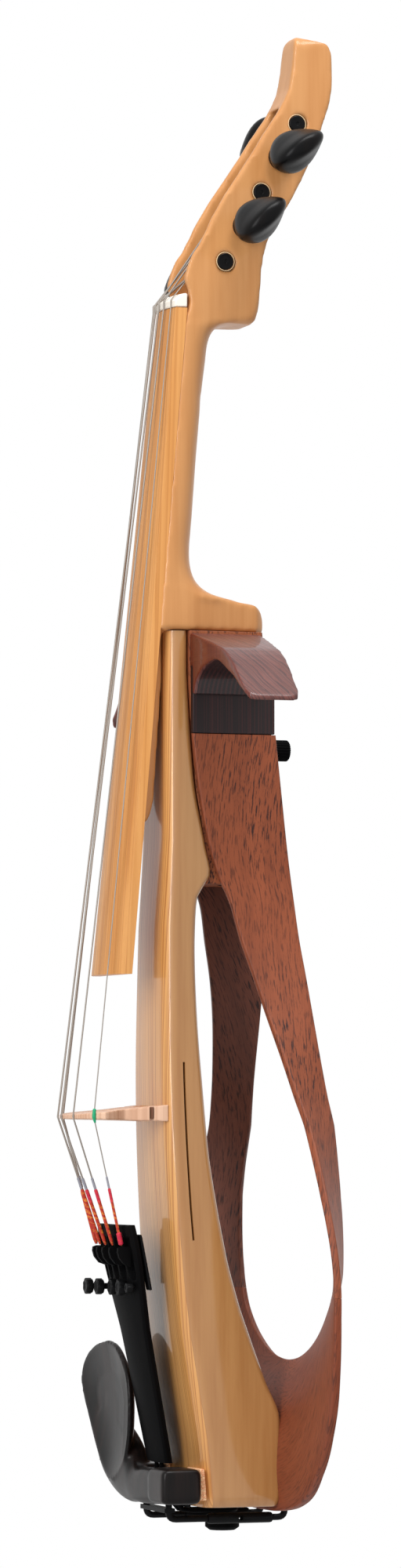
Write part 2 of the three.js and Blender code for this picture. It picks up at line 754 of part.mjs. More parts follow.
function stringRoute(i) {
  const place = stringPlace(i);
  const radius = stringRadii[i];
  const lift = radius + clearance;
  const bridgeX = place * bridgeSpacing;
  const nutX = place * nutSpacing;
  const hook = tunerPlace(i, tailHookDrop);
  const pegIndex = pegNames.indexOf(stringNames[i]);
  const [pegY, pegZ] = pegPlace(pegIndex);
  const bridgeY = -bridgeHeight + bridgeX ** 2 / (2 * crownRadius);
  const nutY = stringNutY + nutX ** 2 / (2 * nutCurveRadius);
  return [
    [hook[0], hook[1] + tailThick / 2, hook[2]],
    [bridgeX, bridgeY - lift + clearance, bridgeZ + bridgeCrownThick / 2],
    [nutX, nutY - radius, nutZ],
    [nutX, nutY - radius, nutZ + nutLength / 2],
    [nutX * pegStringShare, pegY - pegCollarRadius - radius - clearance, pegZ],
  ];
}

function makeStrings() {
  stringNames.forEach((name, i) => addPiece(`string_${name}`, wire(stringRoute(i), stringRadii[i]), steel));
  const route = stringRoute(stringNames.length - 1).map((p) => new THREE.Vector3(...p));
  const towardHead = route[2].clone().sub(route[1]).normalize();
  const start = route[1].clone().addScaledVector(towardHead, bridgeCrownThick * 2);
  const sleeve = turned([
    [sleeveRadius - sleeveWall, 0], [sleeveRadius, 0], [sleeveRadius, sleeveLength], [sleeveRadius - sleeveWall, sleeveLength],
    [sleeveRadius - sleeveWall, 0],
  ], 12);
  const turn = new THREE.Quaternion().setFromUnitVectors(new THREE.Vector3(0, 0, 1), towardHead);
  const matrix = new THREE.Matrix4().compose(start, turn, new THREE.Vector3(1, 1, 1));
  addPiece('e_string_sleeve', sleeve.transform(matrix.toArray()), greenTube);
}

// Bridge and pickups
function makeBridge() {
  const foot = frontYAt(bridgeZ) + bridgeFootGap;
  const h = bridgeHeight + foot;
  const rise = (share) => foot - h * share;
  const crown = [];
  const crownSteps = 12;
  for (let k = 0; k <= crownSteps; k += 1) {
    const x = lerp(bridgeTopHalf, -bridgeTopHalf, k / crownSteps);
    crown.push([x, -bridgeHeight + clearance + x ** 2 / (2 * crownRadius)]);
  }
  const flank = smooth([
    [bridgeTopHalf, rise(0.72)], [bridgeTopHalf * 0.88, rise(0.6)], [bridgeTopHalf * 0.66, rise(0.46)],
    [bridgeTopHalf * 0.72, rise(0.3)], [bridgeFootHalf * 0.94, rise(0.16)], [bridgeFootHalf, rise(0.08)],
    [bridgeFootHalf, rise(0)],
  ], 14);
  const arch = smooth([
    [bridgeFootHalf * 0.42, rise(0)], [bridgeFootHalf * 0.36, rise(0.1)], [bridgeFootHalf * 0.24, rise(0.2)],
    [0, rise(0.25)],
  ], 6);
  const right = [...arch.reverse(), ...flank.reverse()];
  const outline = [...mirrored(right), ...right];
  const shape = new THREE.Shape(outline.concat(crown.slice(1, -1)).map(([x, y]) => new THREE.Vector2(x, y)));
  const geometry = new THREE.ExtrudeGeometry(shape, { depth: 1, bevelEnabled: false });
  const at = geometry.attributes.position;
  for (let i = 0; i < at.count; i += 1) {
    const [x, y, level] = [at.getX(i), at.getY(i), at.getZ(i)];
    const climb = (foot - y) / h;
    const thick = lerp(bridgeFootThick, bridgeCrownThick, climb);
    at.setXYZ(i, x, y, bridgeZ - bridgeLean * (1 - climb) + level * thick);
  }
  let bridge = fixSense(geometry);
  const through = (x, share, radius) => rod(
    [x, rise(share), bridgeZ - bridgeLean - overrun], [x, rise(share), bridgeZ + bridgeFootThick + overrun], radius, 14);
  bridge = bridge.subtract(through(0, 0.52, bridgeTopHalf * 0.13));
  [-1, 1].forEach((side) => {
    bridge = bridge.subtract(through(side * bridgeTopHalf * 0.46, 0.56, bridgeTopHalf * 0.1));
    const slotY = foot - pickupRise;
    const slot = box(
      Math.min(side * (bridgeFootHalf - pickupLength - clearance), side * bridgeTopHalf * 2),
      Math.max(side * (bridgeFootHalf - pickupLength - clearance), side * bridgeTopHalf * 2),
      slotY - pickupThick / 2 - clearance, slotY + pickupThick / 2 + clearance,
      bridgeZ - bridgeLean - overrun, bridgeZ + bridgeFootThick + overrun);
    bridge = bridge.subtract(slot);
    const strip = box(
      Math.min(side * (bridgeFootHalf - pickupLength), side * bridgeFootHalf * 0.96),
      Math.max(side * (bridgeFootHalf - pickupLength), side * bridgeFootHalf * 0.96),
      slotY - pickupThick / 2, slotY + pickupThick / 2, bridgeZ, bridgeZ + bridgeFootThick * 0.7);
    addPiece(side > 0 ? 'pickup_treble' : 'pickup_bass', strip, piezo);
  });
  addPiece('bridge', bridge.subtract(plateSolid(clearance, plateThick)), bridgeMaple);
}

// Centre body
function bodyStations() {
  const shares = new Set([...coreStationShares, ...coreBackShares].map(([share]) => share));
  shares.add(1 - coreBackRadius / bodyLength);
  return [...shares].sort((a, b) => a - b).map((share) => heelZ - bodyLength * share);
}

function makeCore() {
  const rings = bodyStations().map((z) => {
    const half = coreHalfAt(z);
    const front = frontYAt(z) + plateThick + clearance;
    const fromEnd = Math.max(coreBackRadius - (z - bodyEndZ), 0);
    const round = coreBackRadius - Math.sqrt(coreBackRadius ** 2 - fromEnd ** 2);
    const back = coreBackAt(z) - round;
    const edge = plateEdge / 2;
    return [
      [half, front], [half, back - edge], [half - edge, back], [edge - half, back], [-half, back - edge], [-half, front],
    ].map(([x, y]) => new THREE.Vector3(x, y, z));
  });
  let core = loft(rings);
  const slitTopZ = heelZ - slitFromHeel;
  const slitEndZ = slitTopZ - slitLength;
  const slitY = (z) => frontYAt(z) + slitBehindFront;
  const slit = [
    [slitY(slitTopZ) - slitWidth / 2, slitTopZ], [slitY(slitTopZ) + slitWidth / 2, slitTopZ],
    [slitY(slitEndZ) + slitWidth / 2, slitEndZ], [slitY(slitEndZ) - slitWidth / 2, slitEndZ],
  ];
  const slitTool = sideSlab(slit, () => coreEndHalf + overrun);
  [-1, 1].forEach((side) => {
    const outer = side * (coreEndHalf + overrun);
    const inner = side * (coreHalfAt(slitTopZ) - slitDepth);
    core = core.subtract(slitTool.intersect(box(
      Math.min(inner, outer), Math.max(inner, outer), -bridgeHeight, loopDepth, slitEndZ - overrun, slitTopZ + overrun)));
  });
  core = core.subtract(rod([0, buttonY, bodyEndZ - overrun], [0, buttonY, bodyEndZ + buttonPin + clearance],
    buttonPinRadius + clearance));
  addPiece('body_core', core, bodyMaple);
}

function archAt(z) {
  const share = (heelZ - z) / bodyLength;
  return plateArch * Math.min(Math.max((share - archStartShare) / (archFullShare - archStartShare), 0), 1);
}

function plateFront(z, forward) {
  const half = coreHalfAt(z);
  const front = frontYAt(z) - forward;
  const arch = archAt(z);
  return [
    [-half, front + plateEdge * 0.7], [-half + plateEdge * 0.35, front + plateEdge * 0.25],
    [-half + plateEdge, front], [-half / 2, front - arch * 0.75], [0, front - arch],
    [half / 2, front - arch * 0.75], [half - plateEdge, front],
    [half - plateEdge * 0.35, front + plateEdge * 0.25], [half, front + plateEdge * 0.7],
  ];
}

function plateSolid(forward, thick) {
  return loft(coreStationShares.map(([share]) => {
    const z = heelZ - bodyLength * share;
    const half = coreHalfAt(z);
    const back = frontYAt(z) + thick;
    return [[-half, back], ...plateFront(z, forward), [half, back]].map(([x, y]) => new THREE.Vector3(x, y, z));
  }));
}

function makeTopPlate() {
  addPiece('top_plate', plateSolid(0, plateThick), spruce);
}

// Frame: ribs and lower panel
function edgeCurve(first) {
  const topShift = cheekInner + cheekThick - edgeShares[0][0] * loopHalf;
  const points = edgeShares.map((row, i) => {
    const kept = Math.min(Math.max((ribTopFaded - i) / (ribTopFaded - ribTopKept), 0), 1);
    return new THREE.Vector3(
      row[first] * loopHalf + topShift * kept, row[first + 1] * loopDepth, heelZ - row[first + 2] * frameDrop);
  });
  const beyond = points[points.length - 2].clone();
  beyond.x = -beyond.x;
  return new THREE.CatmullRomCurve3([...points, beyond], false, 'centripetal');
}
const frontEdge = edgeCurve(0);
const backEdge = edgeCurve(3);
const lastStation = edgeShares.length - 1;
const jointStation = jointShare * (lastStation + 1);

function numberAt(list, station) {
  const low = Math.min(Math.floor(station), list.length - 2);
  return lerp(list[low], list[low + 1], station - low);
}

// One cross-section of the loop at a station of the table, on the treble side.
function sectionAt(station, across, thick) {
  const t = station / (lastStation + 1);
  const [front, back] = [frontEdge.getPoint(t), backEdge.getPoint(t)];
  const along = frontEdge.getTangent(t).add(backEdge.getTangent(t));
  if (station === lastStation) along.set(-1, 0, 0);
  const cup = numberAt(cupShares, station);
  const face = numberAt(faceShares, station);
  const line = across.map((u) => {
    const point = front.clone().lerp(back, u);
    point.y = lerp(front.y, back.y, u ** cup);
    if (station === lastStation) point.x = 0;
    return point;
  });
  const shifted = (share) => line.map((point, i) => {
    const run = line[Math.min(i + 1, line.length - 1)].clone().sub(line[Math.max(i - 1, 0)]);
    const normal = new THREE.Vector3().crossVectors(along, run).normalize();
    return point.clone().addScaledVector(normal, thick * share);
  });
  return [...shifted(face), ...shifted(face - 1).reverse()];
}

function makeLoop() {
  const pace = frontEdge.getPoint((jointStation + 1) / (lastStation + 1)).distanceTo(
    frontEdge.getPoint(jointStation / (lastStation + 1)));
  const half = clearance / 2 / pace;
  const ribRings = [];
  for (let k = 0; k <= ribSteps; k += 1) {
    ribRings.push(sectionAt(((jointStation - half * 2) * k) / ribSteps, ribbonAcross, ribThick));
  }
  const rib = loft(ribRings);
  addPiece('rib_treble', rib, walnut);
  addPiece('rib_bass', rib.mirror([1, 0, 0]), walnut);

  const panelRings = [];
  for (let k = 0; k <= panelSteps; k += 1) {
    panelRings.push(sectionAt(lerp(jointStation + half * 2, lastStation, k / panelSteps), panelAcross, panelThick));
  }
  const other = panelRings.slice(0, -1).reverse().map((ring) => ring.map((p) => new THREE.Vector3(-p.x, p.y, p.z)));
  addPiece('lower_panel', loft([...panelRings, ...other]), walnut);
}

// Frame: wings and cheeks
function makeWings() {
  const place = ([x, z]) => [x * wingHalf, heelZ - z * wingDrop];
  const cheekOuter = cheekInner + cheekThick;
  const cheekTop = heelZ - cheekTopDrop;
  const under = smooth(wingUnderShares.map(place), 24);
  const outline = [
    ...smooth(wingTopShares.map(place), 20), ...wingTipShares.map(place), ...under,
    [cheekOuter + clearance, under[under.length - 1][1]], [cheekOuter + clearance, cheekTop + clearance], [cheekInner, cheekTop + clearance],
  ];
  const rootBack = wingFront + wingRootDepth;
  const tipBack = wingFront + wingTipDepth;
  const plan = [
    [0, wingFront], [wingHalf - wingCorner, wingFront], [wingHalf - wingCorner * 0.3, wingFront + wingCorner * 0.3],
    [wingHalf, wingFront + wingCorner], [wingHalf, tipBack - wingCorner],
    [wingHalf - wingCorner * 0.3, tipBack - wingCorner * 0.3], [wingHalf - wingCorner, tipBack],
    [wingHalf * 0.6, lerp(tipBack, rootBack, 0.3)], [wingHalf * 0.35, lerp(tipBack, rootBack, 0.75)], [cheekInner, rootBack],
    [0, rootBack],
  ];
  const wing = frontSlab(outline, wingFront - overrun, rootBack + overrun)
    .intersect(planSlab(plan, heelZ - wingDrop - overrun, heelZ + overrun));
  addPiece('wing_treble', wing, walnut);
  addPiece('wing_bass', wing.mirror([1, 0, 0]), walnut);

  const ribTop = heelZ - edgeShares[0][2] * frameDrop;
  const cheek = box(cheekInner, cheekOuter, edgeShares[0][1] * loopDepth, cheekBack, ribTop + clearance, cheekTop);
  addPiece('cheek_treble', cheek, darkVeneer);
  addPiece('cheek_bass', cheek.mirror([1, 0, 0]), darkVeneer);
}

// Trunk block with its pocket, cover and volume control
function blockBackAt(z) {
  return lerp(blockTopBack, blockEndBack, (heelZ - z) / blockEndDrop);
}

function makeTrunk() {
  const endZ = heelZ - blockEndDrop;
  const front = [...bodyStations().filter((z) => z > endZ), endZ].map((z) => [coreBackAt(z) + clearance, z]);
  const back = blockWidthShares.map(([share]) => {
    const z = lerp(heelZ, endZ, share);
    return [blockBackAt(z), z];
  });
  const halfAt = (z) => blockHalf * tableAt(blockWidthShares, (heelZ - z) / blockEndDrop, 1);
  let block = sideSlab([...front, ...back.reverse()], halfAt);

  const bed = (drop) => blockBackAt(heelZ - drop);
  const coverTop = heelZ - coverTopDrop;
  const coverEnd = heelZ - coverEndDrop;
  const rebate = sideSlab([
    [bed(coverTopDrop) - coverThick - clearance, coverTop + clearance], [bed(coverTopDrop) + overrun, coverTop + clearance],
    [bed(coverEndDrop) + overrun, coverEnd - clearance], [bed(coverEndDrop) - coverThick - clearance, coverEnd - clearance],
  ], () => coverHalf + clearance);
  const pocketFloor = bed(pocketTopDrop) - pocketDepth;
  const pocket = box(-pocketHalf, pocketHalf, pocketFloor, loopDepth, heelZ - pocketEndDrop, heelZ - pocketTopDrop);
  const boltHole = rod([0, neckBoltY, heelZ - pocketTopDrop - overrun], [0, neckBoltY, heelZ + overrun],
    neckBoltRadius + clearance);
  const wellZ = endZ + jackSink;
  const jackWell = rod([0, jackY, endZ - overrun], [0, jackY, wellZ], jackNutRadius + clearance, 20);
  const jackHole = rod([0, jackY, endZ - overrun], [0, jackY, heelZ - pocketEndDrop + overrun],
    jackBushRadius + clearance, 20);
  const jackRoom = rod([0, jackY, wellZ + jackInset], [0, jackY, heelZ - pocketEndDrop + overrun],
    jackBodyRadius + clearance, 20);
  block = block.subtract(rebate).subtract(pocket).subtract(boltHole)
    .subtract(jackWell).subtract(jackHole).subtract(jackRoom);

  let cover = sideSlab([
    [bed(coverTopDrop) - coverThick, coverTop], [bed(coverTopDrop), coverTop],
    [bed(coverEndDrop), coverEnd], [bed(coverEndDrop) - coverThick, coverEnd],
  ], () => coverHalf);
  const knobZ = heelZ - knobDrop;
  const knobFace = blockBackAt(knobZ);
  cover = cover.subtract(rod([0, knobFace - coverThick - overrun, knobZ], [0, knobFace + overrun, knobZ],
    potBushRadius + clearance));
  [coverTop - coverScrewInset, coverEnd + coverScrewInset].forEach((z, i) => {
    const face = blockBackAt(z);
    const seat = rod([0, face - coverScrewLength - clearance, z], [0, face + overrun, z], coverScrewRadius + clearance, 10);
    cover = cover.subtract(seat).subtract(rod(
      [0, face - coverThick / 2 - clearance, z], [0, face + overrun, z], coverScrewHead + clearance, 14));
    block = block.subtract(seat);
    const screw = turned([
      [0, -coverScrewLength], [coverScrewRadius, -coverScrewLength + coverScrewRadius], [coverScrewRadius, -coverThick / 2],
      [coverScrewHead, -coverThick / 2], [coverScrewHead * 0.8, 0], [0, 0],
    ], 12).rotate(facingBack).translate([0, face - clearance / 2, z]);
    addPiece(i === 0 ? 'cover_screw_upper' : 'cover_screw_lower', screw, blackMetal);
  });
  addPiece('trunk_block', block, walnut);
  addPiece('control_cover', cover, darkVeneer);

  const seatBack = -coverThick - clearance * 2;
  const pot = turned([
    [0, seatBack - potLength], [potRadius, seatBack - potLength], [potRadius, seatBack], [potBushRadius, seatBack],
    [potBushRadius, clearance], [potShaftRadius, clearance], [potShaftRadius, potShaftLength], [0, potShaftLength],
  ], 20).rotate(facingBack).translate([0, knobFace, knobZ]);
  addPiece('potentiometer', pot, nickel);

  const knobStart = clearance * 4;
  const knobEnd = knobStart + knobLength;
  const levels = [[knobStart, 1], [knobEnd - knobRadius * 0.15, 1], [knobEnd, 0.86]];
  const knobRings = levels.map(([level, share]) => {
    const ring = [];
    for (let k = 0; k < knobRibs * 2; k += 1) {
      const radius = (knobRadius - (k % 2) * knobRibDepth) * share;
      const angle = (Math.PI * k) / knobRibs;
      ring.push(new THREE.Vector3(radius * Math.cos(angle), knobFace + level, knobZ + radius * Math.sin(angle)));
    }
    return ring;
  });
  const knob = loft(knobRings).subtract(rod(
    [0, knobFace - overrun, knobZ], [0, knobFace + potShaftLength + clearance, knobZ], potShaftRadius + clearance));
  addPiece('volume_knob', knob, ebony);

  const bolt = turned([
    [0, -neckBoltHeadHeight - clearance], [neckBoltHead, -neckBoltHeadHeight - clearance], [neckBoltHead, -clearance],
    [neckBoltRadius, -clearance], [neckBoltRadius, neckBoltGrip - neckBoltRadius], [0, neckBoltGrip],
  ], 12).translate([0, neckBoltY, heelZ - pocketTopDrop]);
  addPiece('neck_bolt', bolt, blackMetal);

  const shoulder = jackInset - clearance;
  const socket = turned([
    [0, jackInset + jackBodyLength], [jackBodyRadius, jackInset + jackBodyLength], [jackBodyRadius, jackInset + clearance],
    [jackBushRadius, shoulder + clearance * 2], [jackBushRadius, -jackRimOut], [jackHoleRadius, -jackRimOut],
    [jackHoleRadius, jackInset + jackBodyLength - jackHoleRadius], [0, jackInset + jackBodyLength - jackHoleRadius],
  ], 20).translate([0, jackY, wellZ]);
  addPiece('jack_socket', socket, nickel);
  const jackNut = turned([
    [jackBushRadius + clearance, -clearance], [jackNutRadius, -clearance], [jackNutRadius, -clearance - jackNutLength],
    [jackBushRadius + clearance, -clearance - jackNutLength], [jackBushRadius + clearance, -clearance],
  ], 20).translate([0, jackY, wellZ]);
  addPiece('jack_nut', jackNut, blackMetal);
}

// Tailpiece with built-in tuners
function tailY(z) {
  return lerp(tailTopY, tailEndY, (tailTopZ - z) / tailLength);
}
function tunerPlace(i, drop) {
  const x = stringPlace(i) * tunerSpacing;
  const z = tailTopZ - drop;
  return [x, tailY(z) - tailArch * (1 - (x / tailTopHalf) ** 2), z];
}

function makeTailpiece() {
  const stationShares = [0, 0.04, 0.12, 0.28, 0.45, 0.7, 0.92, 1];
  const widthShares = [0.9, 1, 1, 0.78, 0.44, 0.29, 0.18, 0.12];
  const rings = stationShares.map((share, i) => {
    const z = tailTopZ - tailLength * share;
    const half = lerp(tailEndHalf, tailTopHalf, widthShares[i]);
    const middle = tailY(z);
    const arch = tailArch * (half / tailTopHalf);
    const ring = [];
    const steps = 6;
    for (let k = 0; k <= steps; k += 1) {
      const x = lerp(-half, half, k / steps);
      ring.push(new THREE.Vector3(x, middle - arch * (1 - (x / half) ** 2), z));
    }
    for (let k = steps; k >= 0; k -= 1) {
      const x = lerp(-half, half, k / steps);
      ring.push(new THREE.Vector3(x * 0.96, middle - arch * (1 - (x / half) ** 2) + tailThick, z));
    }
    return ring;
  });
  let tail = loft(rings);
  stringNames.forEach((name, i) => {
    const [x, y, z] = tunerPlace(i, tunerDrop);
    tail = tail.subtract(rod([x, y - overrun * 2, z], [x, y + tailThick + overrun, z], tunerShankRadius + clearance, 12));
    const reach = tunerTops[i] - tunerHeadLength + tunerDepth;
    const screw = turned([
      [0, -reach], [tunerShankRadius, -reach], [tunerShankRadius, 0],
      [tunerHeadRadius * 0.6, 0], [tunerHeadRadius, tunerHeadLength * 0.3], [tunerHeadRadius, tunerHeadLength * 0.85],
      [tunerHeadRadius * 0.85, tunerHeadLength], [0, tunerHeadLength],
    ], 14).rotate(facingFront).translate([x, y - tunerTops[i] + tunerHeadLength, z]);
    addPiece(`tuner_screw_${name}`, screw, blackMetal);

    const [hx, hy, hz] = tunerPlace(i, tailHookDrop);
    const under = hy + tailThick + clearance;
    const profile = [
      [under + leverGap / 2, hz + leverHalf], [under + leverGap / 2 + leverThick, hz + leverHalf],
      [under + leverGap * 2.2 + leverThick, hz - leverLength], [under + leverGap * 2.2, hz - leverLength],
    ];
    const lever = sideSlab(profile, () => leverHalf).translate([hx, 0, 0]);
    addPiece(`tuner_lever_${name}`, lever, blackMetal);
    const pivotZ = hz - leverPivotDrop;
    const faceY = under + lerp(leverGap / 2, leverGap * 2.2, (hz + leverHalf - pivotZ) / (leverHalf + leverLength));
    tail = tail.add(box(hx - leverHalf / 2, hx + leverHalf / 2, under - tailThick / 2, faceY - clearance,
      pivotZ - leverHalf / 2, pivotZ + leverHalf / 2));
  });
  [-gutHalf, gutHalf].forEach((x) => {
    const y = tailY(tailEndZ) - tailArch * (tailEndHalf / tailTopHalf) / 2 + tailThick / 2;
    tail = tail.subtract(rod([x, y, tailEndZ - overrun], [x, y, tailEndZ + overrun * 2], gutRadius + clearance, 10));
  });
  stringNames.forEach((name, i) => {
    tail = tail.subtract(wire(stringRoute(i).slice(0, 2), stringRadii[i] + clearance));
  });
  addPiece('tailpiece', tail, ebony);
}

// Tail gut, saddle and end button
function makeLowerEnd() {
  const saddleBack = frontYAt(bodyEndZ) - plateArch - clearance;
  const saddleTopZ = bodyEndZ + saddleLength;
  const saddleFront = frontYAt(saddleTopZ) - plateArch - clearance;
  const saddle = sideSlab([
    [saddleFront, saddleTopZ], [saddleFront - saddleHeight * 0.3, saddleTopZ],
    [saddleFront - saddleHeight * 0.6, bodyEndZ + saddleLength / 2], [saddleBack - saddleHeight * 0.2, bodyEndZ - gutRadius],
    [saddleBack, bodyEndZ - gutRadius],
  ], () => saddleHalf);
  addPiece('saddle', saddle, ebony);

  const gutY = tailY(tailEndZ) - tailArch * (tailEndHalf / tailTopHalf) / 2 + tailThick / 2;
  const lowZ = bodyEndZ - gutRadius * 2 - clearance * 2;
  const neckReach = buttonNeckRadius + gutRadius + clearance;
  const wrap = [];
  const wrapSteps = 8;
  for (let k = 0; k <= wrapSteps; k += 1) {
    const angle = Math.PI * (1 - k / wrapSteps);
    wrap.push([neckReach * Math.cos(angle), buttonY + neckReach * Math.sin(angle), lowZ]);
  }
  const over = [saddleBack - saddleHeight * 0.9 - gutRadius, bodyEndZ + saddleLength * 0.2];
  const leg = (side) => [
    [side * gutHalf, gutY, tailEndZ + overrun],
    [side * gutHalf, gutY, tailEndZ - gutRadius * 2],
    [side * gutHalf, over[0], over[1]],
    [side * gutHalf, saddleBack - saddleHeight * 0.3, lowZ + gutRadius / 2],
    [side * (gutHalf + neckReach) / 2, saddleBack + saddleHeight, lowZ],
  ];
  const gut = wire([...leg(-1), ...wrap, ...leg(1).reverse()], gutRadius, 8);
  addPiece('tailgut', gut, ebony);

  const button = turned([
    [0, -buttonNeck - buttonHead], [buttonRadius * 0.75, -buttonNeck - buttonHead],
    [buttonRadius, -buttonNeck - buttonHead * 0.7], [buttonRadius, -buttonNeck - buttonHead * 0.2],
    [buttonRadius * 0.9, -buttonNeck], [buttonNeckRadius, -buttonNeck], [buttonNeckRadius, -clearance],
    [buttonPinRadius, -clearance], [buttonPinRadius * 0.9, buttonPin], [0, buttonPin],
  ], 16).translate([0, buttonY, bodyEndZ]);
  addPiece('end_button', button, ebony);
}

// Chin rest with its clamps
function makeChinRest() {
  const centreZ = bodyEndZ + chinCentreRise;
  const closed = new THREE.CatmullRomCurve3(chinOutlineShares.map(
    ([x, z]) => new THREE.Vector3(x * chinWidth, z * chinLength, 0)), true, 'centripetal');
  const around = 26;
  const outline = closed.getPoints(around).slice(0, around);
  const layer = (scale, y) => outline.map((p) => new THREE.Vector3(
    chinCentreX + p.x * scale, y, centreZ + p.y * scale));
  const dishAt = (scale) => chinRimY + chinDish * (1 - scale ** 2);
  const rings = [
    layer(0.15, dishAt(0.15)), layer(0.5, dishAt(0.5)), layer(0.8, dishAt(0.8)), layer(0.95, chinRimY),
    layer(0.99, chinRimY + chinThick * 0.2), layer(1, chinRimY + chinThick * 0.45), layer(0.985, chinRimY + chinThick * 0.8),
    layer(0.93, chinRimY + chinThick), layer(0.8, dishAt(0.8) + chinThick), layer(0.5, dishAt(0.5) + chinThick),
    layer(0.15, dishAt(0.15) + chinThick),
  ];
  const plate = loft(rings);

  const barTop = barTopZ;
  const barEnd = barTop - barHeight;
  const bar = [
    ...smooth([
      [-barBassReach, barTopY + chinThick * 0.6], [-barFootOuter, barTopY], [0, barTopY - chinThick * 0.3],
      [barFootOuter * 0.7, barTopY], [barFootOuter, barTopY + chinThick * 0.7],
    ], 12),
    [barFootOuter, footBottomY], [barFootInner, footBottomY],
    ...smooth([
      [barFootInner, footBottomY - chinThick * 0.3], [barFootInner * 0.8, barUnderY], [-barFootInner * 0.8, barUnderY],
      [-barFootInner, footBottomY - chinThick * 0.3],
    ], 8),
    [-barFootInner, footBottomY], [-barFootOuter, footBottomY], [-barBassReach, barTopY + chinThick * 1.4],
  ];
  let rest = plate.add(planSlab(bar, barEnd, barTop));
  const rodZ = bodyEndZ - rodDrop;
  const rodY = (barTopY + footBottomY) / 2;
  [-rodX, rodX].forEach((x) => {
    rest = rest.subtract(rod([x, rodY, barEnd - overrun], [x, rodY, barEnd + rodBend * 1.5], rodRadius + clearance, 10));
  });
  addPiece('chin_rest', rest, ebony);

  let bracket = box(-rodX - rodRadius, rodX + rodRadius, rodY - bracketHalfDepth, rodY + bracketHalfDepth,
    bodyEndZ - clearance * 2 - bracketThick, bodyEndZ - clearance * 2);
  [-1, 1].forEach((side) => {
    const name = side > 0 ? 'treble' : 'bass';
    const low = (z) => frontYAt(z);
    const pad = sideSlab([
      [footBottomY + clearance, barTop], [low(barTop), barTop], [low(barEnd), barEnd], [footBottomY + clearance, barEnd],
    ], () => (coreEndHalf - barFootInner) / 2).translate([side * (coreEndHalf + barFootInner) / 2, 0, 0]);
    addPiece(`cork_pad_${name}`, pad.subtract(plateSolid(clearance, plateThick)), cork);

    const x = side * rodX;
    const barrelEndY = barrelStartY + barrelLength;
    bracket = bracket.add(wire([
      [x, rodY, barEnd + rodBend],
      ...bend([x, rodY, rodZ], [x, rodY, barEnd], [x, barrelStartY, rodZ], rodBend),
      [x, barrelStartY + barrelBore - clearance, rodZ],
    ], rodRadius, 10));

    const bore = rodRadius + clearance;
    const barrel = turned([
      [0, barrelBore], [bore, barrelBore], [bore, 0], [barrelRadius * 0.9, 0], [barrelRadius, barrelRadius * 0.4],
      [barrelRadius, barrelLength - barrelRadius * 0.4], [barrelRadius * 0.9, barrelLength], [bore, barrelLength],
      [bore, barrelLength - barrelBore], [0, barrelLength - barrelBore],
    ], 14);
    const cross = rod([-barrelRadius * 2, 0, barrelLength / 2], [barrelRadius * 2, 0, barrelLength / 2], rodRadius * 0.7, 10);
    addPiece(`clamp_barrel_${name}`, barrel.subtract(cross).rotate(facingBack).translate([x, barrelStartY, rodZ]),
      blackMetal);

    const legY = panelInnerY + panelThick + clearance + rodRadius + hookGap;
    const hook = wire([
      [x, barrelEndY - barrelBore + clearance, rodZ],
      ...bend([x, legY, rodZ], [x, barrelEndY, rodZ], [x, legY, bodyEndZ], rodBend),
      [x, legY, rodZ + hookRise],
    ], rodRadius, 10);
    addPiece(`clamp_hook_${name}`, hook, blackMetal);
  });
  addPiece('clamp_bracket', bracket, blackMetal);
}
const hookGap = 0.4;

makeNeck();
makeFingerboard();
makeNut();
pegNames.forEach((name, i) => makePeg(i));
makeStrings();
makeBridge();
makeCore();
makeTopPlate();
makeLoop();
makeWings();
makeTrunk();
makeTailpiece();
makeLowerEnd();
makeChinRest();

violin.position.set(0, -ledgeY, 0);
export default violin;
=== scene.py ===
"""Electric violin: wood, fittings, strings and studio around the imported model.
Metres, with +Z to the head, +Y to the back and +X to the treble side."""

import json
import math

import bpy
import bmesh
import numpy as np
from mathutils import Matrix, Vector

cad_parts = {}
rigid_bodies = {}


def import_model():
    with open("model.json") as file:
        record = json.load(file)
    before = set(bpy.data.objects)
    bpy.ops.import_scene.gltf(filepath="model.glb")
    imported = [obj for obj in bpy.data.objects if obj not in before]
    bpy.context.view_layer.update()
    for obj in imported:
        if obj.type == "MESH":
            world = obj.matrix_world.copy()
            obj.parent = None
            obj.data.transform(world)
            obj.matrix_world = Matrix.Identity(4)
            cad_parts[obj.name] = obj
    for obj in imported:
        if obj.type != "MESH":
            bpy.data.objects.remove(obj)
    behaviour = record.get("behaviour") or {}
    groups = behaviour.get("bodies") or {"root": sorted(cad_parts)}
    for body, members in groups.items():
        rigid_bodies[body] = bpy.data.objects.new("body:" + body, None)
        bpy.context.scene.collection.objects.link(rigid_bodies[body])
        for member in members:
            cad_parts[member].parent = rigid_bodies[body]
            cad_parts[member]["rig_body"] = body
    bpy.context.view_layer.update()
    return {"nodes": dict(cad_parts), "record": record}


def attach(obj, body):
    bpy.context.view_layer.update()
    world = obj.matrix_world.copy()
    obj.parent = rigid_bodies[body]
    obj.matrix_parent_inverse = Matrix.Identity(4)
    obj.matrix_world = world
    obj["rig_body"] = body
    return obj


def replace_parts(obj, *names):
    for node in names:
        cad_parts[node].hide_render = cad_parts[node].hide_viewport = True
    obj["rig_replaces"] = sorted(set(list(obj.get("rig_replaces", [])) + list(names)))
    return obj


bl_info = {
    "name": "Electric Violin",
    "version": (1, 0, 0),
    "blender": (4, 5, 0),
    "location": "View3D > Sidebar > Violin",
    "description": "Builds the wood, fittings and strings of a five-string electric violin",
    "category": "Add Mesh",
}

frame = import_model()
MATERIALS = {}
STRINGS = "cgdae"

# Shapes are worked out in millimetres of a drawing frame, where the ledge's middle lies at the depth LEDGE_Y
MM = 1000
LEDGE_Y = 34.6
HEEL_Z, NUT_Z, BRIDGE_Z, TAIL_TOP = -126.2, 5.3, -322.3, -364.5


# Node trees written as expressions

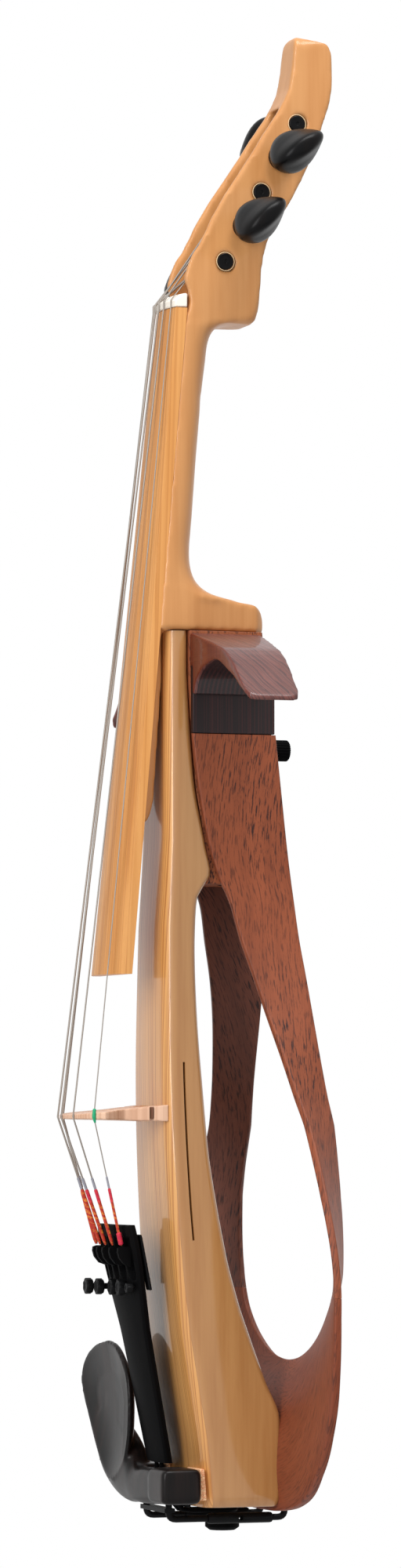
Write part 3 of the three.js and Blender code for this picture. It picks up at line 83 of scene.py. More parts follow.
def arithmetic(operation, swapped=False):
    """A method that adds one Math node, with its two values in the order written."""
    def method(self, other):
        values = (other, self) if swapped else (self, other)
        return self.tree.node("ShaderNodeMath", {"operation": operation}, *values)
    return method


class Value:
    """A shader socket that takes part in Python arithmetic and adds its Math nodes."""
    __add__, __radd__ = arithmetic("ADD"), arithmetic("ADD", True)
    __sub__, __rsub__ = arithmetic("SUBTRACT"), arithmetic("SUBTRACT", True)
    __mul__, __rmul__ = arithmetic("MULTIPLY"), arithmetic("MULTIPLY", True)
    __truediv__, __rtruediv__ = arithmetic("DIVIDE"), arithmetic("DIVIDE", True)

    def __init__(self, tree, socket):
        self.tree = tree
        self.socket = socket

    def band(self, low, high):
        """0 below low, 1 above high and a smooth step between."""
        return self.tree.node("ShaderNodeMapRange", {"interpolation_type": "SMOOTHSTEP"}, self, low, high)

    def clamp(self):
        """Kept between 0 and 1."""
        return self.tree.node("ShaderNodeClamp", {}, self)

    def fraction(self):
        """What is left above the whole number, which rises from 0 to 1 again and again."""
        return self.tree.node("ShaderNodeMath", {"operation": "FRACT"}, self)


class Tree:
    """The node tree of one new material or world."""

    def __init__(self, name, kind="materials"):
        self.name = name
        self.owner = getattr(bpy.data, kind).new(name)
        self.owner.use_nodes = True
        self.nodes = self.owner.node_tree.nodes
        self.links = self.owner.node_tree.links

    def put(self, socket, value):
        """Links a value to the socket, or sets the socket to a number or a colour."""
        if isinstance(value, Value):
            self.links.new(value.socket, socket)
        elif hasattr(socket.default_value, "__len__") and len(socket.default_value) == 4 and len(value) == 3:
            socket.default_value = (*value, 1)
        else:
            socket.default_value = value

    def node(self, kind, settings, *values, out=0, **named):
        """Adds a node, with its settings first and then its sockets by place or by name."""
        node = self.nodes.new(kind)
        for key, value in settings.items():
            setattr(node, key, value)
        for socket, value in zip([s for s in node.inputs if s.enabled], values):
            self.put(socket, value)
        for key, value in named.items():
            self.put(node.inputs[key.replace("_", " ")], value)
        return Value(self, [s for s in node.outputs if s.enabled][out])

    def place(self):
        """Object coordinates."""
        return self.node("ShaderNodeTexCoord", {}, out=3)

    def surface(self):
        """The piece's own map."""
        return self.node("ShaderNodeUVMap", {"uv_map": "Surface"})

    def marked(self, label):
        """1 where the piece's attribute is set."""
        return self.node("ShaderNodeAttribute", {"attribute_name": label}, out=2).band(0.35, 0.65)

    def split(self, vector):
        """The three coordinates of a vector."""
        node = self.nodes.new("ShaderNodeSeparateXYZ")
        self.put(node.inputs[0], vector)
        return [Value(self, s) for s in node.outputs]

    def join(self, x, y, z):
        """A vector from its three coordinates."""
        return self.node("ShaderNodeCombineXYZ", {}, x, y, z)

    def noise(self, vector, scale, detail, rough):
        """Soft noise around 0.5 at the places that the vector gives."""
        return self.node("ShaderNodeTexNoise", {}, Vector=vector, Scale=scale, Detail=detail, Roughness=rough)

    def mix(self, share, a, b):
        """The colour a + (b - a) share."""
        node = self.nodes.new("ShaderNodeMix")
        node.data_type = "RGBA"
        for socket, value in ((node.inputs[0], share), (node.inputs[6], a), (node.inputs[7], b)):
            self.put(socket, value)
        return Value(self, node.outputs[2])

    def bump(self, height, strength, distance):
        """The normal tilted by the slope of a height."""
        return self.node("ShaderNodeBump", {}, Strength=strength, Distance=distance, Height=height)

    def finish(self, **named):
        """Sets the shader's sockets and keeps the material under its name."""
        for key, value in named.items():
            self.put(self.nodes["Principled BSDF"].inputs[key.replace("_", " ")], value)
        MATERIALS[self.name] = self.owner


def srgb(red, green, blue):
    """A given colour, as the linear numbers that a shader takes."""
    shares = np.array([red, green, blue]) / 255
    return tuple(np.where(shares <= 0.04045, shares / 12.92, ((shares + 0.055) / 1.055) ** 2.4))


def shaded(colour, share):
    """The colour times the share."""
    return tuple(part * share for part in colour)


# Finishes

def grain_space(tree, along, across=1.0, tilt=0.0, on_surface=False):
    """Millimetres, with the grain's direction pressed together by along, so that noise draws out into fibres.
    Gives the place to read noise at, and the plain coordinates after it."""
    x, y, z = tree.split(tree.surface() if on_surface else tree.place())
    if on_surface:
        x, y, z = x * MM, z, y * MM
    else:
        x, y, z = x * MM, y * MM, z * MM
    if tilt:
        c, s = math.cos(math.radians(tilt)), math.sin(math.radians(tilt))
        x, z = x * c + z * s, z * c - x * s
    return tree.join(x * across, y * across, z * along), x, y, z


def pale_wood(name, base, deep, light, fibre, figure, gloss):
    """Maple and such: soft figure, fine fibres along Z and a clear satin coat."""
    tree = Tree(name)
    fibres = tree.noise(grain_space(tree, 0.035, 1.4)[0], 1.0, 3.0, 0.6)
    clouds = tree.noise(grain_space(tree, 0.012, 0.16)[0], 1.0, 3.0, 0.5)
    waves = tree.noise(grain_space(tree, 0.004, 0.55)[0], 1.0, 2.0, 0.5)
    colour = tree.mix(clouds.band(0.3, 0.7), deep, base)
    colour = tree.mix(waves.band(0.35, 0.7) * figure, colour, light)
    colour = tree.mix(fibres.band(0.5, 0.8) * fibre, colour, deep)
    tree.finish(
        Base_Color=colour, Roughness=0.45 - gloss * 0.1 + fibres * 0.08, Specular_IOR_Level=0.3,
        Normal=tree.bump(fibres, 0.04, 0.0003), Coat_Weight=gloss, Coat_Roughness=0.1)


def lined_wood(name, base, line, pale, pitch, strength, gloss, direction, wobble, veneer=None, ridges=0.03):
    """Straight growth lines: a repeated ramp across the grain, shifted a little by slow noise along it.
    Where the piece's attribute Veneer or Front is 1, the first or last two colours of veneer take over."""
    tree = Tree(name)
    slow, x, y, z = grain_space(tree, 0.006, 0.1)
    across = {"x": x, "y": y, "xy": x * 0.8 + y * 0.6, "yz": y * 0.85 + z * 0.5}[direction]
    drift = tree.noise(slow, 1.0, 3.0, 0.5)
    uneven = tree.noise(tree.join(across * 0.35, 0.0, z * 0.002), 1.0, 2.0, 0.5)
    ring = (across / pitch + drift * wobble * 6 + uneven * 4).fraction()
    lines = ring.band(0.35, 0.95) * (1 - ring.band(0.94, 1.0))
    fibres = tree.noise(grain_space(tree, 0.03, 2.2)[0], 1.0, 3.0, 0.6)
    colour = tree.mix(drift.band(0.3, 0.7), base, pale)
    colour = tree.mix(lines * strength, colour, line)
    colour = tree.mix(fibres.band(0.5, 0.85) * 0.25, colour, line)
    if veneer:
        colour = tree.mix(tree.marked("Front"), colour, tree.mix(fibres.band(0.4, 0.7), veneer[2], veneer[3]))
        stripe = (y / 1.9 + drift * 0.4).fraction()
        inner = tree.mix(stripe.band(0.3, 0.6) * (1 - stripe.band(0.7, 1.0)), veneer[0], veneer[1])
        colour = tree.mix(tree.marked("Veneer"), colour, inner)
    tree.finish(
        Base_Color=colour, Roughness=0.4 + fibres * 0.12, Normal=tree.bump(lines + fibres, ridges, 0.0002),
        Specular_IOR_Level=0.3, Coat_Weight=gloss, Coat_Roughness=0.06)


def flecked_walnut(name, base, dark, warm, tilt, on_surface, fleck=1.0, far=None):
    """Open-pored walnut: long dark pores at a slant to the ribbon, over slow red and brown bands.
    The wood pales towards the colour far on the bass side and downwards, as a painted sheen."""
    tree = Tree(name)

    def drawn_noise(along, across, detail, rough):
        return tree.noise(grain_space(tree, along, across, tilt, on_surface)[0], 1.0, detail, rough)

    pores, bands = drawn_noise(0.14, 1.35, 3.0, 0.62), drawn_noise(0.012, 0.11, 4.0, 0.6)
    fine, gather = drawn_noise(0.09, 3.4, 3.0, 0.6), drawn_noise(0.02, 0.06, 2.0, 0.5)
    colour = tree.mix(bands.band(0.35, 0.65), base, warm)
    # Painted sheen: the colour pales towards the given sheen colour on the bass side and downwards
    if far:
        x, _, z = tree.split(tree.place())
        colour = tree.mix(x.band(-0.055, -0.085) * z.band(-0.29, -0.4), colour, far)
    colour = tree.mix(fine.band(0.5, 0.8) * 0.35, colour, dark)
    depth = pores.band(0.5, 0.62) * (0.5 + gather.band(0.35, 0.65) * 0.5) * fleck
    colour = tree.mix(depth.clamp(), colour, dark)
    tree.finish(
        Base_Color=colour, Roughness=0.5 + pores * 0.12, Specular_IOR_Level=0.25,
        Normal=tree.bump(pores * -1.0 + fine * -0.4, 0.12, 0.0003), Coat_Weight=0.08, Coat_Roughness=0.3)


def dark_polish(name, base, sheen, rough, coat, grain, ior):
    """Ebony and black lacquer: nearly black, with faint drawn-out fibres."""
    tree = Tree(name)
    fibres = tree.noise(grain_space(tree, 0.06, 1.6)[0], 1.0, 3.0, 0.6)
    clouds = tree.noise(grain_space(tree, 0.02, 0.18)[0], 1.0, 3.0, 0.55)
    colour = tree.mix(clouds.band(0.4, 0.75) * grain, base, sheen)
    colour = tree.mix(fibres.band(0.55, 0.8) * grain, colour, sheen)
    tree.finish(
        Base_Color=colour, Roughness=rough + fibres * 0.1, Normal=tree.bump(fibres, 0.04, 0.0002),
        Specular_IOR_Level=0.2, IOR=ior, Coat_Weight=coat, Coat_Roughness=0.1)


def nickel_plate(name, base, rough):
    """Plated metal with faint handling marks in its gloss."""
    tree = Tree(name)
    marks = tree.noise(grain_space(tree, 0.5, 0.5)[0], 1.0, 4.0, 0.6)
    colour = tree.mix(marks.band(0.4, 0.7) * 0.25, base, shaded(base, 0.6))
    tree.finish(Base_Color=colour, Roughness=rough + marks * 0.12, Metallic=1.0)


def wound_wire(name, base, pitch):
    """Flat-wound string: fine turns at a pitch along the string."""
    tree = Tree(name)
    groove = (tree.split(tree.place())[2] * MM / pitch).fraction().band(0.7, 1.0)
    tree.finish(Base_Color=tree.mix(groove * 0.3, base, shaded(base, 0.6)), Roughness=0.4, Metallic=0.3)


def silk_wrap(name, base, second, dark, pitch):
    """Silk wrap: two thread colours wound in slanting turns, on the piece's own map."""
    tree = Tree(name)
    around, along, _ = tree.split(tree.surface())
    thread = (along * MM / pitch + around).fraction()
    fine = (along * MM / 0.5 + around).fraction()
    patch = tree.noise(tree.join(around * 2, along * MM * 0.45, 0.0), 1.0, 2.0, 0.5)
    colour = tree.mix((thread.band(0.35, 0.5) * patch.band(0.4, 0.6)).clamp(), base, second)
    colour = tree.mix(fine.band(0.75, 1.0) * 0.5, colour, dark)
    tree.finish(Base_Color=colour, Roughness=0.6, Normal=tree.bump(fine, 0.4, 0.0002))


def pressed_cork(name, base, pale, pits):
    """Cork granules, with dark pits between them."""
    tree = Tree(name)
    point = grain_space(tree, 1.0)[0]
    spots = tree.noise(point, 1.3, 4.0, 0.7)
    colour = tree.mix(spots.band(0.4, 0.6), base, pale)
    colour = tree.mix(tree.noise(point, 2.1, 2.0, 0.5).band(0.62, 0.7), colour, pits)
    tree.finish(Base_Color=colour, Roughness=0.85, Normal=tree.bump(spots, 0.4, 0.0004))


def even_finish(name, base, rough):
    """Bone, plastic and other even surfaces, with a slow change of tone."""
    tree = Tree(name)
    tone = tree.noise(grain_space(tree, 0.1, 0.1)[0], 1.0, 2.0, 0.5)
    colour = tree.mix(tone.band(0.3, 0.7) * 0.3, base, shaded(base, 0.8))
    tree.finish(Base_Color=colour, Roughness=rough + tone * 0.1, Specular_IOR_Level=0.35)


def make_materials(colours):
    """Makes every material, with the leading colours taken from the property group."""
    stripes = srgb(26, 15, 17), srgb(54, 26, 26)
    pale_wood("neck_maple", colours.neck, srgb(194, 133, 77), srgb(212, 154, 99),
              fibre=0.15, figure=0.2, gloss=0.25)
    pale_wood("body_maple", colours.body, srgb(164, 112, 60), srgb(188, 140, 86),
              fibre=0.3, figure=0.22, gloss=1.0)

    lined_wood("board_wood", srgb(208, 140, 72), srgb(172, 104, 46), srgb(222, 160, 94),
               pitch=3.1, strength=0.4, gloss=0.1, direction="xy", wobble=0.1)
    lined_wood("spruce", colours.spruce, srgb(160, 98, 46), srgb(222, 166, 100),
               pitch=1.15, strength=0.75, gloss=0.65, direction="x", wobble=0.08)
    lined_wood("wing_walnut", srgb(100, 56, 50), srgb(52, 28, 30), srgb(110, 64, 58),
               pitch=1.7, strength=0.75, gloss=0.3, direction="yz", wobble=0.2,
               veneer=(*stripes, srgb(104, 40, 24), srgb(72, 27, 18)), ridges=0.3)
    lined_wood("dark_veneer", *stripes, srgb(24, 15, 16),
               pitch=1.9, strength=0.7, gloss=0.0, direction="y", wobble=0.1)
    lined_wood("bridge_maple", srgb(216, 172, 142), srgb(184, 134, 104), srgb(228, 188, 160),
               pitch=1.6, strength=0.45, gloss=0.0, direction="x", wobble=0.1)

    flecked_walnut("walnut", colours.walnut, srgb(50, 24, 20), srgb(144, 76, 48), tilt=14, on_surface=True)
    # A darker copy of the walnut for the bass rib: painted shade on its inner face, with a painted sheen
    # lower down
    flecked_walnut("walnut_far", srgb(100, 56, 42), srgb(44, 22, 18), srgb(114, 64, 48),
                   tilt=-14, on_surface=True, far=srgb(158, 104, 90))
    # Its painted sheen pales the panel's bass side lower down
    flecked_walnut("panel_walnut", srgb(124, 60, 36), srgb(58, 28, 20), srgb(134, 68, 42),
                   tilt=8, on_surface=True, fleck=0.7, far=srgb(128, 78, 64))
    flecked_walnut("block_walnut", srgb(146, 80, 50), srgb(50, 24, 18), srgb(158, 90, 56),
                   tilt=20, on_surface=False, fleck=1.1)

    dark_polish("ebony", colours.ebony, srgb(20, 17, 16), rough=0.55, coat=0.0, grain=0.3, ior=1.15)
    dark_polish("peg_ebony", srgb(9, 9, 10), srgb(26, 19, 16), rough=0.3, coat=0.0, grain=0.3, ior=1.35)
    dark_polish("chin_ebony", srgb(13, 11, 11), srgb(40, 27, 24), rough=0.32, coat=0.1, grain=0.6, ior=1.35)
    dark_polish("black_steel", srgb(13, 13, 14), srgb(24, 24, 26), rough=0.4, coat=0.04, grain=0.3, ior=1.25)

    # Pale colour of the peg holes' chamfers: a painted highlight
    even_finish("rim_highlight", srgb(246, 214, 170), rough=0.4)
    even_finish("whip", srgb(150, 150, 160), rough=0.6)
    even_finish("bone", srgb(248, 240, 228), rough=0.35)
    even_finish("green_plastic", srgb(30, 160, 110), rough=0.5)
    even_finish("pickup", srgb(112, 74, 54), rough=0.6)
    nickel_plate("nickel", srgb(200, 198, 192), rough=0.22)
    wound_wire("string_steel", srgb(150, 142, 134), pitch=0.35)
    pressed_cork("cork", srgb(230, 152, 108), srgb(255, 210, 160), srgb(60, 25, 20))
    silk_wrap("silk", colours.silk, srgb(240, 140, 44), srgb(90, 16, 12), pitch=2.6)
    silk_wrap("silk_start", srgb(206, 26, 62), srgb(228, 60, 60), srgb(110, 10, 30), pitch=2.0)


# What a user would change

def length(name, description, metres):
    """A property that holds a length."""
    return bpy.props.FloatProperty(
        name=name, description=description, default=metres, min=0.0001, unit="LENGTH")


def colour(name, description, value):
    """A property that holds a colour."""
    return bpy.props.FloatVectorProperty(
        name=name, description=description, default=value, subtype="COLOR", min=0, max=1)


class ViolinSizes(bpy.types.PropertyGroup):
    """Sizes of the pieces made here"""
    rib: length("Rib thickness", "Thickness of the two bent ribs", 0.003)
    panel: length("Panel thickness", "Thickness of the dished lower panel", 0.0036)
    plate: length("Top thickness", "Thickness of the spruce top at its edge", 0.0028)
    tailpiece: length("Tailpiece thickness", "Thickness of the tailpiece", 0.0032)
    peg_head: length("Peg head half width", "Half the width of a peg's head", 0.0118)
    silk: length("Silk length", "Length of the silk wrap on each string", 0.0235)


class ViolinColours(bpy.types.PropertyGroup):
    """Leading colours of the finishes"""
    neck: colour("Neck", "Maple of the neck and head", srgb(205, 146, 90))
    body: colour("Body", "Maple of the centre body", srgb(178, 128, 75))
    spruce: colour("Top", "Spruce of the top", srgb(210, 150, 84))
    walnut: colour("Frame", "Walnut of the near rib", srgb(130, 67, 42))
    ebony: colour("Black wood", "Tailpiece and hooks", srgb(9, 9, 10))
    silk: colour("Silk", "Thread around the strings' ends", srgb(190, 44, 20))


def size(name):
    """One of the user's sizes, in millimetres."""
    return getattr(bpy.context.scene.violin_sizes, name) * MM


# Mesh making

def add_mesh(name, points, faces, body, material, slot, replaced=(), uv=None, smooth=35.0):
    """Points in millimetres of the drawing frame become one piece in metres of the part's frame."""
    mesh = bpy.data.meshes.new(name)
    mesh.from_pydata(in_metres(points).tolist(), [], [tuple(map(int, f)) for f in faces])
    mesh.validate()
    if uv is not None:
        layer = mesh.uv_layers.new(name="Surface")
        corners = np.empty(len(mesh.loops), int)
        mesh.loops.foreach_get("vertex_index", corners)
        layer.data.foreach_set("uv", np.asarray(uv, float).reshape(-1, 2)[corners].ravel())
    return dress_piece(bpy.data.objects.new(name, mesh), body, material, replaced, smooth)


def in_metres(points):
    """Points of the drawing frame in the part's frame."""
    return (np.asarray(points, float) - (0, LEDGE_Y, 0)) / MM


def dress_piece(piece, body, material, replaced, smooth=35.0):
    """Gives a piece its material, its body and the nodes that it stands for."""
    bpy.context.scene.collection.objects.link(piece)
    piece.data.materials.clear()
    piece.data.materials.append(MATERIALS[material])
    turn_outwards(piece.data)
    piece.data.shade_smooth()
    piece.data.set_sharp_from_angle(angle=math.radians(smooth))
    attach(piece, body)
    if replaced:
        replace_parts(piece, *replaced)
    return piece


def turn_outwards(mesh):
    """Turns the faces of a closed mesh outwards."""
    shape = bmesh.new()
    shape.from_mesh(mesh)
    bmesh.ops.recalc_face_normals(shape, faces=shape.faces)
    if shape.calc_volume(signed=True) < 0:
        bmesh.ops.reverse_faces(shape, faces=shape.faces)
    shape.to_mesh(mesh)
    shape.free()


def ring_faces(rings, points, closed=False):
    """Quads between neighbouring rings, with one many-sided cap at each open end."""
    r, p = np.meshgrid(np.arange(rings if closed else rings - 1), np.arange(points), indexing="ij")
    after, beside = (r + 1) % rings, (p + 1) % points
    quads = np.stack([r * points + p, r * points + beside, after * points + beside, after * points + p], -1)
    faces = quads.reshape(-1, 4).tolist()
    if not closed:
        faces.append(list(range(points))[::-1])
        faces.append(list(range((rings - 1) * points, rings * points)))
    return faces


def loft(name, rings, *args, **named):
    """A closed solid through an array of rings with the shape (rings, points, 3)."""
    rings = np.asarray(rings, float)
    return add_mesh(name, rings.reshape(-1, 3), ring_faces(*rings.shape[:2]), *args, **named)


def plain_solid(name, rings):
    """A loft without a material or a body, to join to a piece or to cut it with."""
    rings = np.asarray(rings, float)
    mesh = bpy.data.meshes.new(name)
    mesh.from_pydata(in_metres(rings.reshape(-1, 3)).tolist(), [], ring_faces(*rings.shape[:2]))
    turn_outwards(mesh)
    solid = bpy.data.objects.new(name, mesh)
    bpy.context.scene.collection.objects.link(solid)
    return solid


def curve_at(points, where):
    """Centripetal Catmull-Rom curve through the points, at places counted in points from the first."""
    points = np.asarray(points, float)
    padded = np.vstack([2 * points[0] - points[1], points, 2 * points[-1] - points[-2]])
    where = np.clip(np.asarray(where, float), 0, len(points) - 1)
    i = np.minimum(where.astype(int), len(points) - 2)
    t = (where - i)[:, None]
    a, b, c, d = (padded[i + k] for k in range(4))
    da, db, dc = (
        np.maximum(np.linalg.norm(q - p, axis=1), 1e-9)[:, None] ** 0.5 for p, q in ((a, b), (b, c), (c, d)))
    m1 = ((b - a) / da - (c - a) / (da + db) + (c - b) / db) * db
    m2 = ((c - b) / db - (d - b) / (db + dc) + (d - c) / dc) * db
    return b + m1 * t + (-3 * b + 3 * c - 2 * m1 - m2) * t**2 + (2 * b - 2 * c + m1 + m2) * t**3


def read_table(table, where, sign=1):
    """The curve through a table's rows, at values of its first column, which rises where sign is 1."""
    return curve_at(table, np.interp(sign * where, sign * table[:, 0], np.arange(len(table))))


def turned(profile, count=40):
    """Rings around X of radius r at height h, for pairs (r, h)."""
    profile = np.asarray(profile, float)
    t = np.linspace(0, 2 * np.pi, count, endpoint=False)
    r = profile[:, :1] * np.ones(count)
    return np.stack([np.broadcast_to(profile[:, 1:], r.shape), r * np.cos(t), r * np.sin(t)], -1)


def rounded_profile(points, radius, steps=4):
    """A profile whose corners b, other than its ends, become curves a (1 - t)^2 + 2 b t (1 - t) + c t^2."""
    points = np.asarray(points, float)
    out = [points[0]]
    for a, b, c in zip(points[:-2], points[1:-1], points[2:]):
        into, away = a - b, c - b
        reach = min(radius, np.linalg.norm(into) * 0.45, np.linalg.norm(away) * 0.45)
        start, end = b + into / np.linalg.norm(into) * reach, b + away / np.linalg.norm(away) * reach
        for t in np.linspace(0, 1, steps):
            out.append(start * (1 - t) ** 2 + b * 2 * t * (1 - t) + end * t ** 2)
    out.append(points[-1])
    return np.array(out)


def tube(points, radius, count=12):
    """Rings of a tube along a path; radius is a number or one per point. Spokes stay square to the path."""
    points = np.asarray(points, float)
    ahead = np.gradient(points, axis=0)
    ahead /= np.linalg.norm(ahead, axis=1)[:, None]
    side = np.cross(ahead, (0, 1, 0.3))
    side /= np.linalg.norm(side, axis=1)[:, None]
    up = np.cross(ahead, side)
    t = np.linspace(0, 2 * np.pi, count, endpoint=False)
    spokes = side[:, None] * np.cos(t)[:, None] + up[:, None] * np.sin(t)[:, None]
    return points[:, None] + spokes * np.reshape(np.broadcast_to(radius, len(points)), (-1, 1, 1))


def signed_power(values, power):
    """The power of the size, with the sign kept: it makes a circle's coordinates into a squarer ring's."""
    return np.sign(values) * np.abs(values) ** power


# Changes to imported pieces

MERGE_DISTANCE = 2e-6


def copy_of(node, name, body, material, smooth=35.0):
    """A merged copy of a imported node, to take a bevel or a finer surface."""
    piece = bpy.data.objects.new(name, frame["nodes"][node].data.copy())
    shape = bmesh.new()
    shape.from_mesh(piece.data)
    bmesh.ops.remove_doubles(shape, verts=shape.verts, dist=MERGE_DISTANCE)
    bmesh.ops.dissolve_limit(shape, angle_limit=math.radians(0.5), verts=shape.verts, edges=shape.edges)
    shape.to_mesh(piece.data)
    shape.free()
    return dress_piece(piece, body, material, (node,), smooth)


def bevelled(node, name, body, material, width, angle):
    """A copy whose edges, where sharper than the angle, are rounded by a width in millimetres."""
    piece = copy_of(node, name, body, material)
    bevel = piece.modifiers.new("Rounded edges", "BEVEL")
    bevel.width = width / MM
    bevel.segments = 2
    bevel.limit_method = "ANGLE"
    bevel.angle_limit = math.radians(angle)
    return piece


def remeshed(node, name, body, material, voxel, rounds, fillers=(), alone=False, trim=None, hold=None):
    """A copy on an even grid of voxels, joined with filler lofts, trimmed by a function of its points in
    millimetres, and then drawn together a few times to round its edges, by the share that hold gives."""
    piece = copy_of(node, name, body, material, 80.0)
    shape = bmesh.new()
    if not alone:
        shape.from_mesh(piece.data)
    for rings in fillers:
        extra = plain_solid("filler", rings)
        shape.from_mesh(extra.data)
        bpy.data.objects.remove(extra, do_unlink=True)
    shape.to_mesh(piece.data)
    shape.free()
    evened(piece, voxel)
    if trim:
        put_points(piece, trim(points_of(piece)))
        piece.data.update()
        evened(piece, voxel)
    ease = piece.modifiers.new("Soft edges", "SMOOTH")
    ease.iterations = rounds
    if hold:
        group = piece.vertex_groups.new(name="Hold")
        shares = hold(points_of(piece))
        for share in np.unique(shares):
            group.add(np.nonzero(shares == share)[0].tolist(), float(share), "REPLACE")
        ease.vertex_group = "Hold"
    settle(piece)
    piece.data.materials.clear()
    piece.data.materials.append(MATERIALS[material])
    piece.data.shade_smooth()
    return piece


def evened(piece, voxel):
    """Puts the piece on an even grid of voxels of a size in millimetres."""
    grid = piece.modifiers.new("Even surface", "REMESH")
    grid.mode = "VOXEL"
    grid.voxel_size = voxel / MM
    grid.use_smooth_shade = True
    settle(piece)


def subtract(piece, tool):
    """Cuts the tool's shape out of the piece and removes the tool."""
    change = piece.modifiers.new("cut", "BOOLEAN")
    change.operation = "DIFFERENCE"
    change.object = tool
    change.solver = "EXACT"
    settle(piece)
    bpy.data.objects.remove(tool, do_unlink=True)


def settle(piece):
    """Turns the piece's modifiers into its mesh."""
    graph = bpy.context.evaluated_depsgraph_get()
    made = bpy.data.meshes.new_from_object(piece.evaluated_get(graph))
    piece.modifiers.clear()
    piece.data = made


def points_of(piece):
    """The piece's points in millimetres of the drawing frame."""
    points = np.empty(len(piece.data.vertices) * 3)
    piece.data.vertices.foreach_get("co", points)
    return points.reshape(-1, 3) * MM + (0, LEDGE_Y, 0)


def put_points(piece, points):
    """Puts the piece's points at places in millimetres of the drawing frame."""
    piece.data.vertices.foreach_set("co", in_metres(points).ravel())


# Studio and the photograph's camera

WORLD_LIGHT = 0.3
FLOOR_HALF, FLOOR_HEIGHT = 2.5, -1.2
CAMERA_TURN, CAMERA_RISE, CAMERA_AWAY = math.radians(71.0), math.radians(-3.47), 2.25
CAMERA_TARGET = (0, 20.8, -187)
FOCAL_PIXELS, FRAME_PIXELS, SENSOR = 7088, 2000, 36


def lamp(name, place, size_x, size_y, power):
    """A white softbox that faces the instrument's middle."""
    data = bpy.data.lights.new(name, "AREA")
    data.shape = "RECTANGLE"
    data.size, data.size_y = size_x, size_y
    data.energy = power
    box = bpy.data.objects.new(name, data)
    box.location = place
    box.rotation_euler = (Vector((0, 0, -0.2)) - Vector(place)).to_track_quat("-Z", "Y").to_euler()
    bpy.context.scene.collection.objects.link(box)


class StageOperator(bpy.types.Operator):
    """Makes the materials, floor, lights, world and camera"""
    bl_idname = "violin.stage"
    bl_label = "Stage"

    def execute(self, context):
        make_materials(context.scene.violin_colours)
        scene = context.scene
        scene.view_settings.view_transform = "Standard"

        # The world is white to the camera and in mirror reflections, and dim as a source of light
        world = Tree("studio", "worlds")
        scene.world = world.owner
        path = world.nodes.new("ShaderNodeLightPath")
        level = WORLD_LIGHT
        for kind in ("Is Camera Ray", "Is Glossy Ray", "Is Transmission Ray"):
            ray = Value(world, path.outputs[kind])
            level = world.node("ShaderNodeMath", {"operation": "MAXIMUM"}, level, ray)
        background = world.nodes["Background"]
        world.put(background.inputs["Color"], (1, 1, 1))
        world.put(background.inputs["Strength"], level)

        floor = bpy.data.meshes.new("floor")
        sides = ((-1, -1), (1, -1), (1, 1), (-1, 1))
        corners = [(x * FLOOR_HALF, y * FLOOR_HALF, FLOOR_HEIGHT) for x, y in sides]
        floor.from_pydata(corners, [], [(0, 1, 2, 3)])
        ground = bpy.data.objects.new("floor", floor)
        scene.collection.objects.link(ground)
        tree = Tree("floor")
        tone = tree.noise(tree.place(), 3.0, 2.0, 0.5)
        tree.finish(Base_Color=tree.mix(tone, (0.86, 0.86, 0.86), (0.9, 0.9, 0.9)), Roughness=0.8)
        ground.data.materials.append(tree.owner)

        lamp("key softbox", (1.5, -1.7, 0.5), 0.9, 1.8, 40)
        lamp("top softbox", (0.7, 0.2, 1.8), 1.0, 1.0, 40)

        camera = bpy.data.cameras.new("camera")
        eye = bpy.data.objects.new("camera", camera)
        scene.collection.objects.link(eye)
        flat = math.cos(CAMERA_RISE)
        back = Vector((math.sin(CAMERA_TURN) * flat, -math.cos(CAMERA_TURN) * flat, math.sin(CAMERA_RISE)))
        eye.location = Vector(in_metres(CAMERA_TARGET)) + back * CAMERA_AWAY
        eye.rotation_euler = back.to_track_quat("Z", "Y").to_euler()
        camera.sensor_width = SENSOR
        camera.lens = FOCAL_PIXELS / FRAME_PIXELS * SENSOR
        camera.clip_end = 50
        scene.camera = eye
        return {"FINISHED"}


# Frame of two ribs and a lower panel

EDGES = np.array([
    # Front edge across, back and down, then back edge across, back and down, as shares
    [0.2128, 0.1726, 0.1185, 0.2128, 0.7452, 0.1185], [0.2074, 0.2194, 0.1808, 0.2053, 0.7871, 0.1808],
    [0.1968, 0.3032, 0.2489, 0.1968, 0.8339, 0.2489], [0.1947, 0.3629, 0.28, 0.2, 0.8548, 0.28],
    [0.2106, 0.4323, 0.3084, 0.2128, 0.871, 0.3084], [0.2479, 0.4871, 0.3509, 0.2404, 0.8919, 0.3509],
    [0.2989, 0.55, 0.3934, 0.2872, 0.9129, 0.3934], [0.3628, 0.6032, 0.4359, 0.3436, 0.9258, 0.4359],
    [0.4755, 0.6661, 0.4926, 0.4213, 0.9403, 0.4926], [0.5553, 0.7016, 0.5323, 0.4723, 0.9516, 0.5323],
    [0.6277, 0.7258, 0.5635, 0.516, 0.9629, 0.5635], [0.7553, 0.7468, 0.6173, 0.583, 0.9726, 0.6173],
    [0.8457, 0.7468, 0.6542, 0.6117, 0.9774, 0.6542], [0.934, 0.7452, 0.6995, 0.6213, 0.979, 0.6995],
    [0.974, 0.7419, 0.7307, 0.6064, 0.9806, 0.7307], [0.991, 0.7419, 0.7506, 0.5745, 0.9806, 0.7506],
    [0.9998, 0.7419, 0.7817, 0.517, 0.9823, 0.7732], [0.9931, 0.7419, 0.8271, 0.4223, 0.9855, 0.7959],
    [0.9532, 0.7419, 0.8838, 0.3213, 0.9887, 0.8115], [0.8596, 0.7419, 0.932, 0.2298, 0.9919, 0.8209],
    [0.7, 0.7419, 0.9688, 0.1543, 0.9952, 0.826], [0.5149, 0.7419, 0.9887, 0.0926, 0.9968, 0.8285],
    [0.2915, 0.7419, 0.998, 0.0415, 0.9984, 0.8297], [0, 0.7419, 1, 0, 1, 0.83],
])
